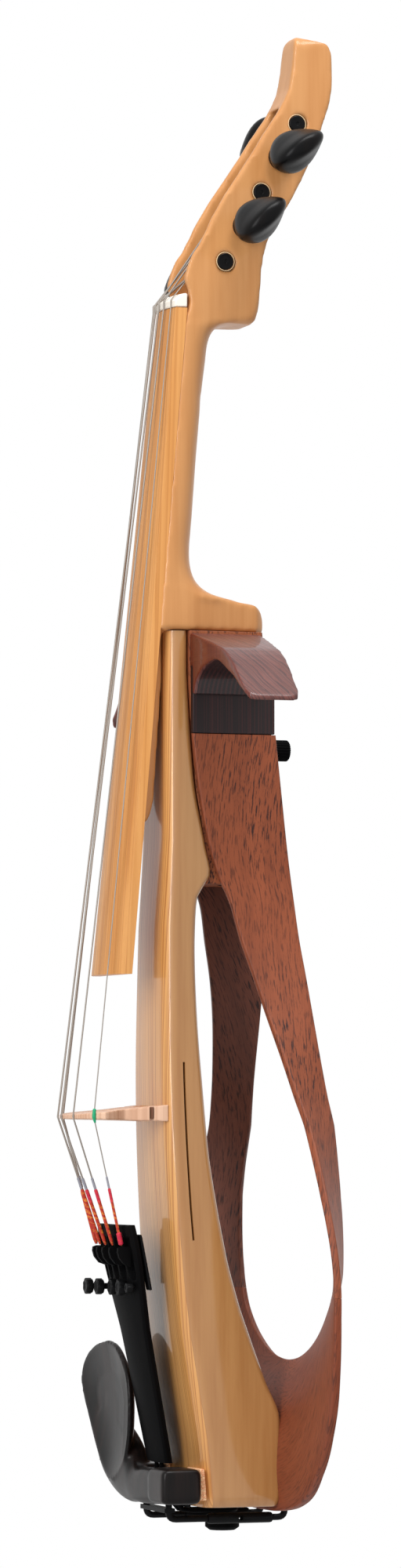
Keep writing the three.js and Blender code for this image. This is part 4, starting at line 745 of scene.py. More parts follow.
# How strongly the section cups at each edge place, and the share of its thickness that lies on its outer face
CUP = np.array([*[1] * 13, 1.05, 1.1, 1.15, 1.3, 1.6, 2, 2.5, 2.9, 3.2, 3.4, 3.5])
FACE = np.array([*[0] * 7, 0.05, 0.12, 0.25, 0.4, 0.55, 0.7, 0.85, 0.95, *[1] * 9])
DRAWN_IN = np.array([
    # Depth below the ledge, and how far the back edge is drawn forwards there
    [325, 0], [340, 1.3], [354, 2.3], [384, 2.7], [400, 3.6], [431, 4], [446, 4.6], [462, 4.4], [473, 2.5],
])
LOOP_HALF, LOOP_DEPTH, FRAME_DROP = 94, 62, 352.8
LAST_EDGE = len(EDGES) - 1
JOINT_EDGE, JOINT_GAP = 15.1, 0.004
THICKEN_SECTIONS = 40
CORNER_RADIUS, FACE_POINTS = 0.8, 18


def rounded_strips(width, low, high):
    """Points (strips, places, 2) around strips of given widths, between two depths, with round corners."""
    turn = np.linspace(0, np.pi / 2, 5)
    radius = CORNER_RADIUS
    c, n = np.cos(turn) * radius, np.sin(turn) * radius
    width, low, high = width[:, None], low[:, None], high[:, None]
    flat = np.linspace(radius, width[:, 0] - radius, FACE_POINTS, axis=1)[:, 1:-1]
    parts = (
        (radius - c, low + radius - n), (flat, low), (width - radius + n, low + radius - c),
        (width - radius + c, high - radius + n), (flat[:, ::-1], high), (radius - n, high - radius + c))
    return np.concatenate([np.stack(np.broadcast_arrays(*part), -1) for part in parts], 1)


def ribbon_rings(stations, first_thick, thick):
    """Sections of the ribbon: front + (back - front) u, cupped in depth by u to the power cup, plus normal
    times offset. It starts with one thickness and reaches the other within THICKEN_SECTIONS."""
    thicks = np.interp(np.arange(len(stations)), [0, THICKEN_SECTIONS], [first_thick, thick])
    edges = []
    for first in (0, 3):
        points = EDGES[:, first:first + 3] * (LOOP_HALF, LOOP_DEPTH, -FRAME_DROP) + (0, 0, HEEL_Z)
        edges.append(np.vstack([points, points[-2] * (-1, 1, 1)]))
    step = 0.02
    ends = [curve_at(e, stations) for e in edges]
    runs = [curve_at(e, stations + step) - curve_at(e, np.maximum(stations - step, 0)) for e in edges]
    along = sum(r / np.linalg.norm(r, axis=1)[:, None] for r in runs)
    places = np.arange(len(EDGES))
    cup, face = np.interp(stations, places, CUP), np.interp(stations, places, FACE)
    last = stations >= LAST_EDGE - 1e-6
    ends[0][last, 0] = ends[1][last, 0] = 0
    along[last] = (-1, 0, 0)
    steps = np.linalg.norm(np.diff((ends[0] + ends[1]) / 2, axis=0), axis=1)
    travelled = np.concatenate([[0], np.cumsum(steps)])
    run, cup = (ends[1] - ends[0])[:, None], cup[:, None]
    width = np.linalg.norm(run[:, 0], axis=1)
    strips = rounded_strips(width, thicks * (face - 1), thicks * face)
    u = np.clip(strips[..., 0] / width[:, None], 0, 1)
    points = ends[0][:, None] + run * u[..., None]
    points[..., 1] = ends[0][:, None, 1] + run[..., 1] * u ** cup
    slope = np.broadcast_to(run, points.shape).copy()
    slope[..., 1] = run[..., 1] * cup * np.maximum(u, 1e-3) ** (cup - 1)
    normal = np.cross(along[:, None], slope)
    normal /= np.linalg.norm(normal, axis=-1)[..., None]
    points += normal * strips[..., 1:]
    points[..., 1] -= np.interp(-points[..., 2], *DRAWN_IN.T) * np.clip(points[..., 1] / 60, 0, 1.1) ** 1.5
    marks = np.stack(np.broadcast_arrays(strips.sum(-1) / MM, travelled[:, None] / MM), -1)
    return points, marks


class RibbonOperator(bpy.types.Operator):
    """Makes the two ribs and the panel that joins them as one twisting and cupped ribbon"""
    bl_idname = "violin.ribbon"
    bl_label = "Ribbon"

    def execute(self, context):
        rib = size("rib")
        rings, marks = ribbon_rings(np.linspace(0, JOINT_EDGE - JOINT_GAP, 150), rib, rib)
        # The bass rib takes the darker walnut copy, which paints shade on its inner face
        for side, sign, finish in (("treble", 1, "walnut"), ("bass", -1, "walnut_far")):
            loft("rib_skin_" + side, rings * (sign, 1, 1), "instrument", finish, "walnut", ("rib_" + side,),
                 uv=marks, smooth=50)
        rings, marks = ribbon_rings(np.linspace(JOINT_EDGE + JOINT_GAP, LAST_EDGE, 110), rib, size("panel"))
        rings = np.vstack([rings, rings[-2::-1] * (-1, 1, 1)])
        marks = np.vstack([marks, marks[-2::-1] * (1, -1) + (0, 2 * marks[-1, 0, 1])])
        loft("panel_skin", rings, "instrument", "panel_walnut", "walnut", ("lower_panel",),
             uv=marks, smooth=50)
        return {"FINISHED"}


# Centre body

CORE = np.array([
    # Share of the length, of the widening and of the front's drop
    [0, 0, 0.06], [0.2, 0.1, 0.05], [0.3, 0.19, 0.03], [0.4, 0.31, 0], [0.5, 0.43, -0.01],
    [0.58, 0.53, 0.04], [0.66, 0.62, 0.14], [0.74, 0.72, 0.29], [0.81, 0.82, 0.47], [0.88, 0.92, 0.68],
    [0.94, 1, 0.87], [1, 1, 1],
])
CORE_BACK = np.array([
    # Share of the length and of the lower end's depth
    [0, 0.22], [0.05, 0.22], [0.1, 0.24], [0.18, 0.288], [0.25, 0.384], [0.279, 0.426], [0.292, 0.37],
    [0.308, 0.3], [0.33, 0.283], [0.37, 0.272], [0.45, 0.288], [0.53, 0.331], [0.6, 0.376], [0.667, 0.456],
    [0.725, 0.541], [0.775, 0.645], [0.82, 0.765], [0.86, 0.876], [0.897, 0.994], [0.93, 0.998], [1, 0.998],
])
BODY_LENGTH, UPPER_HALF, WIDENING, FRONT_DROP, END_BACK = 350.4, 16, 12, 14.2, 45.7
EDGE_X, EDGE_Y, BACK_RADIUS, SEAM_GAP = 6.0, 5.5, 2.6, 0.04
END_SHARE, END_INSET = 0.014, 2.2
SLIT_TOP, SLIT_END, SLIT_DEPTH, SLIT_REACH, SLIT_HALF = -299.7, -370.7, 8, 8, 0.45


def body_lines(shares):
    """Half width, front and back of the centre body at shares of its length: the tables' curves times the
    named sizes, with the front raised by up to 1.3 mm over its middle."""
    widening, drop = read_table(CORE, shares)[:, 1:].T
    back = read_table(CORE_BACK, shares)[:, 1]
    raised = 1.3 * np.clip((shares - 0.24) / 0.1, 0, 1) * np.clip((0.92 - shares) / 0.12, 0, 1)
    return UPPER_HALF + WIDENING * widening, FRONT_DROP * drop - raised, END_BACK * np.minimum(back, 0.998)


def edge_curve(start, end, count):
    """Part of the quarter ellipse x = EDGE_X (cos t - 1), y = EDGE_Y (1 - sin t) on the body's front edge."""
    turn = np.linspace(start, end, count)
    return np.stack([EDGE_X * (np.cos(turn) - 1), EDGE_Y * (1 - np.sin(turn))], 1)


def body_rings(sections, z):
    """Sections (count, points, 2), across and in depth, as rings at their heights."""
    heights = np.broadcast_to(z[:, None, None], (*sections.shape[:2], 1))
    return np.concatenate([sections, heights], -1)


def slit_cut(core, z, half, front):
    """Cuts the long slit in each side with a slab that runs along the front at a fixed depth."""
    edge = float(np.interp(SLIT_TOP, z[::-1], half[::-1]))
    heights = np.linspace(SLIT_TOP, SLIT_END, 24)
    middle = np.interp(heights, z[::-1], front[::-1]) + SLIT_DEPTH
    for sign in (-1, 1):
        inner, outer = sign * (edge - SLIT_REACH), sign * 40
        subtract(core, plain_solid("slit tool", [
            [(x, y + dy, h) for x, dy in (
                (inner, -SLIT_HALF), (outer, -SLIT_HALF), (outer, SLIT_HALF), (inner, SLIT_HALF))]
            for y, h in zip(middle, heights)]))


class BodyOperator(bpy.types.Operator):
    """Makes the maple core and the spruce top as lofts with rounded long edges"""
    bl_idname = "violin.body"
    bl_label = "Centre body"

    def execute(self, context):
        lower_end = 1 - END_SHARE * (1 - np.sin(np.linspace(0, np.pi / 2, 9)))
        shares = np.unique(np.concatenate([np.linspace(0.0004, 0.985, 120), lower_end]))
        half, front, back = body_lines(shares)
        z = HEEL_Z - BODY_LENGTH * shares
        end_round = np.maximum(END_SHARE - (1 - shares), 0) / END_SHARE
        inset = END_INSET * (1 - np.sqrt(np.maximum(1 - end_round ** 2, 0)))
        turn = np.linspace(0, np.pi / 2, 7)
        corner = BACK_RADIUS * np.stack([np.cos(turn) - 1, np.sin(turn) - 1], 1)
        seam = math.asin(1 - size("plate") / EDGE_Y)
        low_edge, high_edge = edge_curve(seam, 0, 5), edge_curve(np.pi / 2, seam, 8)
        arch = 0.7 * np.clip((shares - 0.23) / 0.17, 0, 1)
        places = np.linspace(-1, 1, 31)[1:-1]
        h, f, b = (line[:, None] for line in (half - inset, front, back - inset))

        # The right side from the seam to the back, and the same mirrored
        right = np.concatenate([
            low_edge + np.stack([h, f + SEAM_GAP], -1), corner + np.stack([h, b], -1)], 1)
        rings = body_rings(np.concatenate([right, right[:, ::-1] * (-1, 1)], 1), z)
        core = loft("core_skin", rings, "instrument", "body_maple", "body_maple", ("body_core",), smooth=40)
        slit_cut(core, z, half, front)

        # The top from its left seam over the arched middle to its right seam
        right = high_edge + np.stack([h, f], -1)
        middle = np.stack([places * (h - EDGE_X), f - arch[:, None] * (1 - places ** 2)], -1)
        rings = body_rings(np.concatenate([right[:, ::-1] * (-1, 1), middle, right], 1), z)
        loft("top_skin", rings, "instrument", "spruce", "spruce", ("top_plate",), smooth=40)
        return {"FINISHED"}


# Pegs

HEAD_HEIGHT, HEAD_HALF = 118.5, 12.6
FIRST_PEG_Y, FIRST_PEG_Z, PEG_PITCH, PEG_SLOPE = 27.3, 24.7, 16.67, math.radians(61.5)
# Depth and height of each peg, evenly along the sloping head from the nut's end
PEG_PLACES = {
    name: (FIRST_PEG_Y + PEG_PITCH * i * math.cos(PEG_SLOPE),
           FIRST_PEG_Z + PEG_PITCH * i * math.sin(PEG_SLOPE))
    for i, name in enumerate("cegad")}
PEG_SIDES = {"c": -1, "e": 1, "g": -1, "a": 1, "d": -1}
PEG_TURNS = {"c": 38, "e": 42, "g": 40, "a": 35, "d": 44}
RING_AWAY, HEAD_AWAY, PEG_HEAD_LENGTH, PEG_HEAD_THICK = 1.4, 6.5, 24, 8.4
END_HOLE, HEAD_HOLE, RIM_WIDTH, RIM_RISE = 3.62, 4.3, 0.28, 0.1
PEG_HEAD = np.array([
    # Share of the head's length, of its half width and of its half thickness
    [0, 0.34, 0.45], [0.05, 0.42, 0.6], [0.12, 0.56, 0.82], [0.24, 0.78, 1.0], [0.38, 0.93, 0.96],
    [0.52, 1.0, 0.82], [0.66, 0.99, 0.66], [0.79, 0.92, 0.54], [0.89, 0.78, 0.45], [0.955, 0.58, 0.36],
    [0.985, 0.4, 0.26], [1.0, 0.2, 0.12],
])


def head_half(z):
    """Half the width of the peg box and head at a height."""
    return HEAD_HALF * np.interp(z / HEAD_HEIGHT, [0, 0.34, 0.67, 1], [1, 0.95, 0.8, 0.64])


class PegsOperator(bpy.types.Operator):
    """Makes the pegs: shaft with a recessed end, ring, and a leaf-shaped head"""
    bl_idname = "violin.pegs"
    bl_label = "Pegs"

    def execute(self, context):
        for name, (y, z) in PEG_PLACES.items():
            side, wall, body = PEG_SIDES[name], float(head_half(z)), "peg_" + name
            ring = wall + RING_AWAY
            head = ring + HEAD_AWAY
            shaft = turned(rounded_profile([
                (0.05, -wall - 0.2), (0.7, -wall - 0.2), (0.7, -wall - 0.55), (3.1, -wall - 0.6),
                (3.35, -wall - 0.3), (3.5, 0), (3.9, ring - 0.6), (4.2, ring), (5.4, ring + 0.1),
                (5.4, ring + 2.3), (4.1, ring + 2.9), (3.8, ring + 3.6), (3.9, head + 5),
                (0.05, head + 5)], 0.3))
            loft(body + "_shaft", shaft * (side, 1, 1) + (0, y, z), body, "peg_ebony", "ebony", smooth=50)

            # The head's sections are ovals of half axes a and b, turned about the shaft by the peg's angle
            along, wide, thick = curve_at(PEG_HEAD, np.linspace(0, len(PEG_HEAD) - 1, 56)).T[..., None]
            t = np.linspace(0, 2 * np.pi, 56, endpoint=False)
            a, b = size("peg_head") * wide * np.cos(t), PEG_HEAD_THICK * thick * np.sin(t)
            c, s = math.cos(math.radians(PEG_TURNS[name])), math.sin(math.radians(PEG_TURNS[name]))
            x = np.broadcast_to(side * (head + PEG_HEAD_LENGTH * along), a.shape)
            rings = np.stack([x, y + a * c - b * s, z + a * s + b * c], -1)
            loft(body + "_head", rings, body, "peg_ebony", "ebony", (body,), smooth=50)

            # Pale rims around the shaft's two holes, the narrower one at its free end: the holes' chamfers,
            # coloured pale as a painted highlight
            for mark, hole in ((-1, END_HOLE), (1, HEAD_HOLE)):
                outer = hole + RIM_WIDTH
                rim = turned(rounded_profile([
                    (hole, 0), (outer, 0), (outer, RIM_RISE), (hole, RIM_RISE), (hole, 0)], 0.05, 2)[:-1])
                rings = rim * (side * mark, 1, 1) + (side * mark * wall, y, z)
                add_mesh(f"{body}_rim_{mark + 1}", rings.reshape(-1, 3), ring_faces(*rings.shape[:2], True),
                         "instrument", "rim_highlight", "neck_maple")
        return {"FINISHED"}


# Strings

STRING_RADII = {"c": 0.6, "g": 0.45, "d": 0.42, "a": 0.38, "e": 0.27}
HOOK_PITCH, BRIDGE_PITCH, NUT_PITCH = 8, 10, 5.2
HOOK_DROP, HOOK_LIFT, HOOK_HALF = 8.2, 2.2, 0.9
# Depth of the bridge's and the nut's crest at their middle, and twice the radius of their curves
BRIDGE_CREST, BRIDGE_CURVE, NUT_CREST, NUT_CURVE = -37.8, 56, 3.2, 68
NUT_THICK, SHAFT_RADIUS, SHAFT_GAP = 2.8, 3.9, 0.3
HOOK = np.array([
    # Depth and height of a hook's outline
    (2.2, -7), (-0.6, -6), (-2.6, -3.6), (-3.3, -1.2), (-3.1, 0.4), (-1.6, 0.9), (2.2, 0.9),
])
WRAPS = (
    # Name, start and end along the string, extra radius, finish and the strings that have it. An end of None
    # is the silk length that the user sets.
    ("silk", 0.0, None, 0.3, "silk", "cgdae"), ("silk_knot", 0.2, 5.5, 0.75, "silk_start", "e"),
    ("silk_end", 17.5, 23.7, 0.34, "silk_start", "dae"), ("whip", 23.3, 28.5, 0.16, "whip", "cgdae"),
)
TAIL_LENGTH, TAIL_HALF, TAIL_ARCH, TAIL_FRONT, TAIL_LEAN = 95, 21.5, 2.4, -16.4, 18.6


def tail_y(z, x):
    """The tailpiece's front in depth: it leans back evenly along its length and is arched across it."""
    return TAIL_FRONT + TAIL_LEAN * (TAIL_TOP - z) / TAIL_LENGTH - TAIL_ARCH * (1 - (x / TAIL_HALF) ** 2)


def string_route(i):
    """Corners of a string's path: hook, bridge, both edges of the nut and the front of its peg's shaft."""
    place, radius = i - 2, STRING_RADII[STRINGS[i]]
    hook_x, hook_z = place * HOOK_PITCH, TAIL_TOP - HOOK_DROP
    bridge_x, nut_x = place * BRIDGE_PITCH, place * NUT_PITCH
    peg_y, peg_z = PEG_PLACES[STRINGS[i]]
    nut_y = NUT_CREST + nut_x ** 2 / NUT_CURVE - radius
    return np.array([
        (hook_x, tail_y(hook_z, hook_x) - HOOK_LIFT, hook_z),
        (bridge_x, BRIDGE_CREST + bridge_x ** 2 / BRIDGE_CURVE - radius, BRIDGE_Z + 0.75),
        (nut_x, nut_y, NUT_Z),
        (nut_x, nut_y, NUT_Z + NUT_THICK),
        (nut_x * 0.4, peg_y - SHAFT_RADIUS - radius - SHAFT_GAP, peg_z),
    ])


def silk_wraps(name, route, radius):
    """Sleeves of thread around the string's lower end, each drawn in to half its radius at both ends."""
    length = np.linalg.norm(route[1] - route[0])
    for label, start, stop, extra, finish, strings in WRAPS:
        if name not in strings:
            continue
        share = np.linspace(start / length, (stop or size("silk")) / length, 24)
        path = route[0] + (route[1] - route[0]) * share[:, None]
        round_off = 1 - 0.5 * np.clip(np.abs(np.linspace(-1, 1, 24)) - 0.85, 0, 1) / 0.15
        rings = tube(path, (radius + extra) * round_off, 14)
        around, along = (np.arange(14) / 14)[None, :], (share * length / MM)[:, None]
        loft(f"{label}_{name}", rings, "instrument", finish, "string_steel",
             uv=np.stack(np.broadcast_arrays(around, along), -1), smooth=60)


class StringsOperator(bpy.types.Operator):
    """Makes the strings, the hooks and silk wraps at the tailpiece, and the sleeve on the E string"""
    bl_idname = "violin.strings"
    bl_label = "Strings"

    def execute(self, context):
        for i, name in enumerate(STRINGS):
            route, radius = string_route(i), STRING_RADII[name]
            parts = [np.linspace(a, b, 30) for a, b in zip(route[:-1], route[1:])]
            path = np.vstack([parts[0]] + [q[1:] for q in parts[1:]])
            wire = tube(path, radius * 0.88)
            loft("string_skin_" + name, wire, "instrument", "string_steel", "string_steel",
                 ("string_" + name,), smooth=60)
            ring = route[0] + (0, HOOK_LIFT, 0) + np.column_stack([np.zeros(len(HOOK)), HOOK + (-0.6, -1.4)])
            hook = [ring + (x, 0, 0) for x in (-HOOK_HALF, HOOK_HALF)]
            loft("hook_" + name, hook, "tuner_lever_" + name, "ebony", "black_steel", smooth=60)
            silk_wraps(name, route, radius)

        # The last string is the E string
        run, up = route[1] - route[0], route[2] - route[1]
        path = np.vstack([
            route[1] - run / np.linalg.norm(run) * np.linspace(2.4, 0.3, 6)[:, None],
            route[1] + up / np.linalg.norm(up) * np.linspace(0.3, 3.2, 12)[:, None]])
        width = np.concatenate([np.linspace(0.4, 0.72, 6), np.full(10, 0.72), [0.66, 0.5]])
        loft("sleeve_skin", tube(path, width, 16), "instrument", "green_plastic", "green_plastic",
             ("e_string_sleeve",), smooth=60)
        return {"FINISHED"}


# Tailpiece

TAIL_WIDTH = np.array([
    # Share of the length, and of the widening from the narrow end
    [0, 0.93], [0.04, 1], [0.12, 1], [0.28, 0.78], [0.45, 0.44], [0.7, 0.29], [0.92, 0.18], [1, 0.12],
])
TAIL_NARROW, TAIL_WIDENING = 10.5, 11
SCREW_SHARE, SCREW_LIFTS = 0.263, {"c": 10.4, "g": 7.4, "d": 4, "a": 3.6, "e": 3.6}
SMALL_SCREW = 0.62


def tuner_screw(name, place):
    """A knurled head on its shank, turned about Y; the head's rim has seven shallow flutes."""
    top = SCREW_LIFTS[name]
    profile = rounded_profile([
        (0.05, 0.3), (1.2, 0.3), (1.7, 0), (3.0, 0), (3.3, 0.4), (3.3, 2.6), (2.6, 3), (1.5, 3.2), (1.1, 3.5),
        (1.1, top + 2.6), (0.05, top + 2.6)], 0.25, 3)
    rings = turned(profile, 56)
    t = np.linspace(0, 2 * np.pi, 56, endpoint=False)
    flutes = np.where((profile[:, 0] > 2.7)[:, None], 1 - 0.12 * np.sin(3.5 * t) ** 2, 1)
    rings[..., 1:] *= flutes[..., None] * (SMALL_SCREW if name == "e" else 1)
    x, z = place * HOOK_PITCH, TAIL_TOP - TAIL_LENGTH * SCREW_SHARE
    rings = rings[..., [1, 0, 2]] + (x, tail_y(z, x) - top, z)
    body = "tuner_screw_" + name
    loft(body + "_skin", rings, body, "black_steel", "black_steel", (body,), smooth=40)


class TailpieceOperator(bpy.types.Operator):
    """Makes the tailpiece as a height field with side walls, lip and five slots, and the tuner screws"""
    bl_idname = "violin.tailpiece"
    bl_label = "Tailpiece"

    def execute(self, context):
        s, u = np.linspace(0, 1, 190), np.linspace(-1, 1, 141)
        half = TAIL_NARROW + TAIL_WIDENING * read_table(TAIL_WIDTH, s)[:, 1]
        z = TAIL_TOP - TAIL_LENGTH * s
        x = half[:, None] * u
        base = tail_y(z, TAIL_HALF)[:, None] - TAIL_ARCH * (half / TAIL_HALF)[:, None] * (1 - u ** 2)
        window = np.clip((s - 0.05) / 0.012, 0, 1) * np.clip((0.232 - s) / 0.012, 0, 1)
        nearest = np.abs(x[:, :, None] - np.arange(-2, 3) * HOOK_PITCH).min(-1)
        curl = np.sqrt(np.clip(1 - ((s[:, None] - 0.19) / 0.045).clip(0, 1) ** 2, 0, 1)) * 3.0
        grooves = np.clip((curl - nearest) / 0.5 + 0.4, 0, 1) * window[:, None]
        notch = np.clip((1.1 - nearest) / 0.4, 0, 1) * np.clip((0.06 - s) / 0.01, 0, 1)[:, None]
        sides = 0.8 * np.clip((np.abs(u) - 0.95) / 0.05, 0, 1) ** 2
        lip = 0.8 * np.clip(1 - s / 0.008, 0, 1)[:, None] ** 2
        front = base + grooves * 2.3 + (sides + lip) + notch * 0.8
        back = base + size("tailpiece") - 0.7 * np.clip((np.abs(u) - 0.93) / 0.07, 0, 1) ** 2
        heights = np.broadcast_to(z[:, None], x.shape)
        face, under = np.stack([x, front, heights], -1), np.stack([x * 0.97, back, heights], -1)
        loft("tailpiece_skin", np.concatenate([face, under[:, ::-1]], 1), "instrument", "ebony", "ebony",
             ("tailpiece",), smooth=32)
        for i, name in enumerate(STRINGS):
            tuner_screw(name, i - 2)
        return {"FINISHED"}


# Neck

HEEL_BACK = np.array([
    # Height and depth of the neck's back where it swings into the heel, and the power that rounds the section
    [-80, 15.0, 0.375], [-90, 14.5, 0.37], [-97, 14.4, 0.34], [-101.5, 15.0, 0.29], [-105.5, 16.6, 0.24],
    [-108.5, 19.4, 0.2], [-110.8, 23.6, 0.17], [-112.2, 29, 0.15], [-113.2, 34.5, 0.14],
])
LEDGE_BACK = np.array([
    # The same where the neck swings out to the ledge
    [-0.3, 30, 0.12], [-0.9, 27.4, 0.16], [-2.4, 25.2, 0.22], [-5.5, 23.4, 0.29], [-10, 22.3, 0.34],
    [-17, 21.6, 0.37], [-28, 20.9, 0.375],
])
HEEL_CREST = np.array([
    # Depth, and the height of the heel's top there
    [16.6, -105.5], [19.4, -108.5], [23.6, -110.8], [29, -112.2], [34.5, -113.2], [40, -114], [44.6, -115.2],
])
# Height, and how much fuller the neck's back is made there
SWELL = np.array([[-92, 0], [-80, 0.3], [-55, 0.5], [-36, 0.9], [-28.3, 0.75], [-27.7, 0]])
HEAD_FRONT = np.array([
    # Height, how far the head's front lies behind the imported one, and the head's depth there
    [0, 0.3, 33], [8, 0.9, 33], [14.6, 1.0, 34], [18.4, 0.8, 33], [22.2, 0.8, 32], [27, 1.2, 31],
    [31, 2.4, 29], [37.5, 2.2, 28], [41, 1.6, 27], [52, 1.0, 26], [60, 1.2, 26], [70, 1.4, 24],
    [78, 1.5, 24], [83, 2.0, 23], [88, 2.9, 22], [94, 3.9, 21], [98, 4.6, 21], [120, 4.7, 20],
])
HEAD_BACK = np.array([
    # Height, and the depth of the head's back there
    [0, 42], [24, 43.3], [36.7, 47], [50, 55.5], [69.9, 65.8], [87.7, 71.8], [101.9, 74.4], [120, 74.2],
])
BOARD_BACK, BOARD_RISE, BOARD_LENGTH = 10.9, 26.1, 270
NUT_HALF, NECK_WIDENING, NECK_LENGTH = 12.6, 4.6, 124.5
NO_LIMIT = 99


def board_back(z):
    """Depth of the fingerboard's back, which leans forwards along its length."""
    return BOARD_BACK - BOARD_RISE * (NUT_Z - z) / BOARD_LENGTH


def neck_half(z):
    """Half the width of the neck, which widens evenly down from the nut."""
    return NUT_HALF + NECK_WIDENING * (NUT_Z - z) / NECK_LENGTH


def neck_lines(table, z):
    """Back and section power at heights, along the table's curve, with the neck's front and half width."""
    line = read_table(table, z, -1)
    return line[:, 1], line[:, 2], board_back(z) + 0.3, neck_half(z)


def plain_end(table):
    """The end of the table that runs on into the plain neck."""
    return table[0, 0] if table[0, 0] < -50 else table[-1, 0]


def neck_rings(table):
    """Sections at heights: x = half cos t, y = start + (back - start) sin(t) to twice the section's power."""
    z = np.linspace(table[0, 0], table[-1, 0], 40)
    back, power, start, half = neck_lines(table, z)
    back = back - 0.9 * np.clip(1 - np.abs(z - plain_end(table)) / 12, 0, 1)
    t = np.linspace(0, np.pi, 41)
    x = half[:, None] * np.cos(t)
    y = start[:, None] + (back - start)[:, None] * np.sin(t) ** (2 * power[:, None])
    return np.stack([x, y, np.broadcast_to(z[:, None], x.shape)], -1)


def rounded_neck(points):
    """Draws the remeshed neck's points in: the shaft first, then the heel and the head."""
    round_shaft(points)
    round_heel(points)
    shape_head(points)
    return points


def round_shaft(points):
    """Keeps the neck inside its rounded sections at both ends, fills its back a little between them, and
    sinks its front edge into the fingerboard."""
    half = neck_half(points[:, 2])
    shaft = (points[:, 2] > -119) & (points[:, 2] < 1)
    points[shaft, 0] = np.clip(points[shaft, 0], -half[shaft], half[shaft])
    for table in (HEEL_BACK, LEDGE_BACK):
        back, power, start, half = neck_lines(table, points[:, 2])
        limit = start + (back - start) * np.maximum(1 - (points[:, 0] / half) ** 2, 0) ** power
        limit += 4 * np.clip(1 - np.abs(points[:, 2] - plain_end(table)) / 10, 0, 1)
        here = (points[:, 2] > table[-1, 0] + 0.2) & (points[:, 2] < table[0, 0])
        points[here, 1] = np.minimum(points[here, 1], np.maximum(limit[here], start[here]))
    edge = (points[:, 2] < 3) & (points[:, 1] < board_back(points[:, 2]) + 1.3)
    points[edge, 1] -= 0.9
    swell = np.interp(points[:, 2], *SWELL.T)
    points[:, 1] += swell * np.clip((points[:, 1] - board_back(points[:, 2]) - 2) / 5, 0, 1)
    tongue = points[:, 2] < HEEL_Z - 0.6
    points[tongue, 0] = np.clip(points[tongue, 0], -11.5, 11.5)


def round_heel(points):
    """Rounds the heel's sides over its top, by circles under the crest that grow towards the back."""
    x, y, z = points.T
    radius = 5.5 * np.clip((y - 18) / 8, 0, 1) + 1e-6
    above = np.clip(z - (np.interp(y, *HEEL_CREST.T) - radius), 0, radius)
    sides = 17 - radius + np.sqrt(radius ** 2 - above ** 2)
    limit = np.where((z < -100) & (y > 18), sides, NO_LIMIT)
    points[:, 0] = np.clip(x, -limit, limit)


def shape_head(points):
    """Rounds the ledge by a superellipse in plan and the head's top edges by circles, and moves the head's
    front back, its top up and its back out, to where the photograph has them."""
    x, y, z = points.T
    deep = np.interp(z, *HEAD_BACK.T)
    share = np.clip((deep - y) / np.interp(z, HEAD_FRONT[:, 0], HEAD_FRONT[:, 2]), 0, 1)
    shift = np.interp(z, HEAD_FRONT[:, 0], HEAD_FRONT[:, 1])
    bend = np.clip((y - 27) / (deep - 27 + 0.6), 0, 1)
    square = 3.2 + 16 * np.clip(z / 34, 0, 1)
    plan = 13 * np.maximum(1 - bend ** square, 0) ** (1 / square) + NO_LIMIT * ((z < -0.8) | (z > 40))
    under = np.clip(3 - z, 0, 3) / 3
    plan -= np.where((z > -0.9) & (y > 30), 3.4 * (1 - np.sqrt(1 - under ** 2)), 0)
    radius = np.clip(5.5 - (y - 58) * 0.4, 0.8, 5.5)
    top = HEAD_HEIGHT - (y - 57) * 0.16
    corner = np.clip(z - (top - radius), 0, radius)
    ends = np.where(z > 105, head_half(z) - radius + np.sqrt(radius ** 2 - corner ** 2), NO_LIMIT)
    points[:, 0] = np.clip(x, -np.minimum(plan, ends), np.minimum(plan, ends))
    points[:, 2] += 1.9 * np.clip((z - 98) / 18, 0, 1)
    points[:, 1] += np.where(z > -0.5, shift * share + np.clip((z - 84) / 8, 0, 1) * 0.9 * (1 - share), 0)


# Chin rest

CHIN_OUTLINE = np.array([
    [-40.9, -412.1], [-59.1, -415.2], [-71.2, -421.3], [-75.6, -428.5], [-73.3, -435.8], [-66.8, -444.1],
    [-58.9, -453.3], [-51.1, -461.2], [-43.3, -467.0], [-35.5, -468.9], [-27.9, -467.0], [-19.2, -461.2],
    [-14.4, -452.5], [-12.7, -443.0], [-12.8, -433.6], [-15.3, -425.8], [-21.9, -419.0], [-30.6, -413.8],
])
CHIN_MIDDLE = np.array([-43.5, -440.5])
CHIN_SECTION = np.array([
    # Share of the way to the outline and depth, from the dish over the rim to the back
    [0.02, -2.4], [0.3, -2.5], [0.55, -3.0], [0.75, -4.2], [0.87, -5.2], [0.95, -5.7], [0.985, -5.6],
    [1.0, -4.8], [0.99, -3.8], [0.95, -2.8], [0.87, -1.6], [0.75, -0.4], [0.55, 0.8], [0.3, 1.6], [0.02, 1.8],
])
CHIN_BAR = np.array([
    # Across, then middle and half size in depth, then middle and half size in height
    [-66, -2.6, 1.0, -444, 3], [-60, -2, 2.2, -450, 9], [-52, -1.2, 3.8, -453.5, 13.5],
    [-44, -0.6, 4.8, -456.5, 15], [-36, -0.2, 5.3, -459.5, 15], [-28, 0, 5.5, -462, 14.2],
    [-20, 0, 5.5, -464.8, 12], [-13, -0.4, 5.2, -468.6, 7.7], [0, -1.2, 4.5, -468.8, 7.4],
    [14, -0.9, 4.8, -468.4, 7.1], [26, -0.6, 5.0, -468, 6.9],
])
# Both ends and the front of each foot, and how far its section draws in towards its ends
CHIN_FEET, FOOT_BACK, FOOT_Z, FOOT_HALF = ((11.5, 31.5, -5.9), (-31.5, -11.5, 0)), 10.8, -467.85, 7.05
FOOT_INSET = np.array([2, 0.9, 0.3, 0, 0, 0.3, 0.9, 2])


def chin_line(count, closing):
    """The outline as a curve around the middle; closing is how many points are repeated at its end."""
    closed = np.vstack([CHIN_OUTLINE, CHIN_OUTLINE[:closing]])
    return curve_at(closed, np.linspace(0, len(CHIN_OUTLINE), count)) - CHIN_MIDDLE


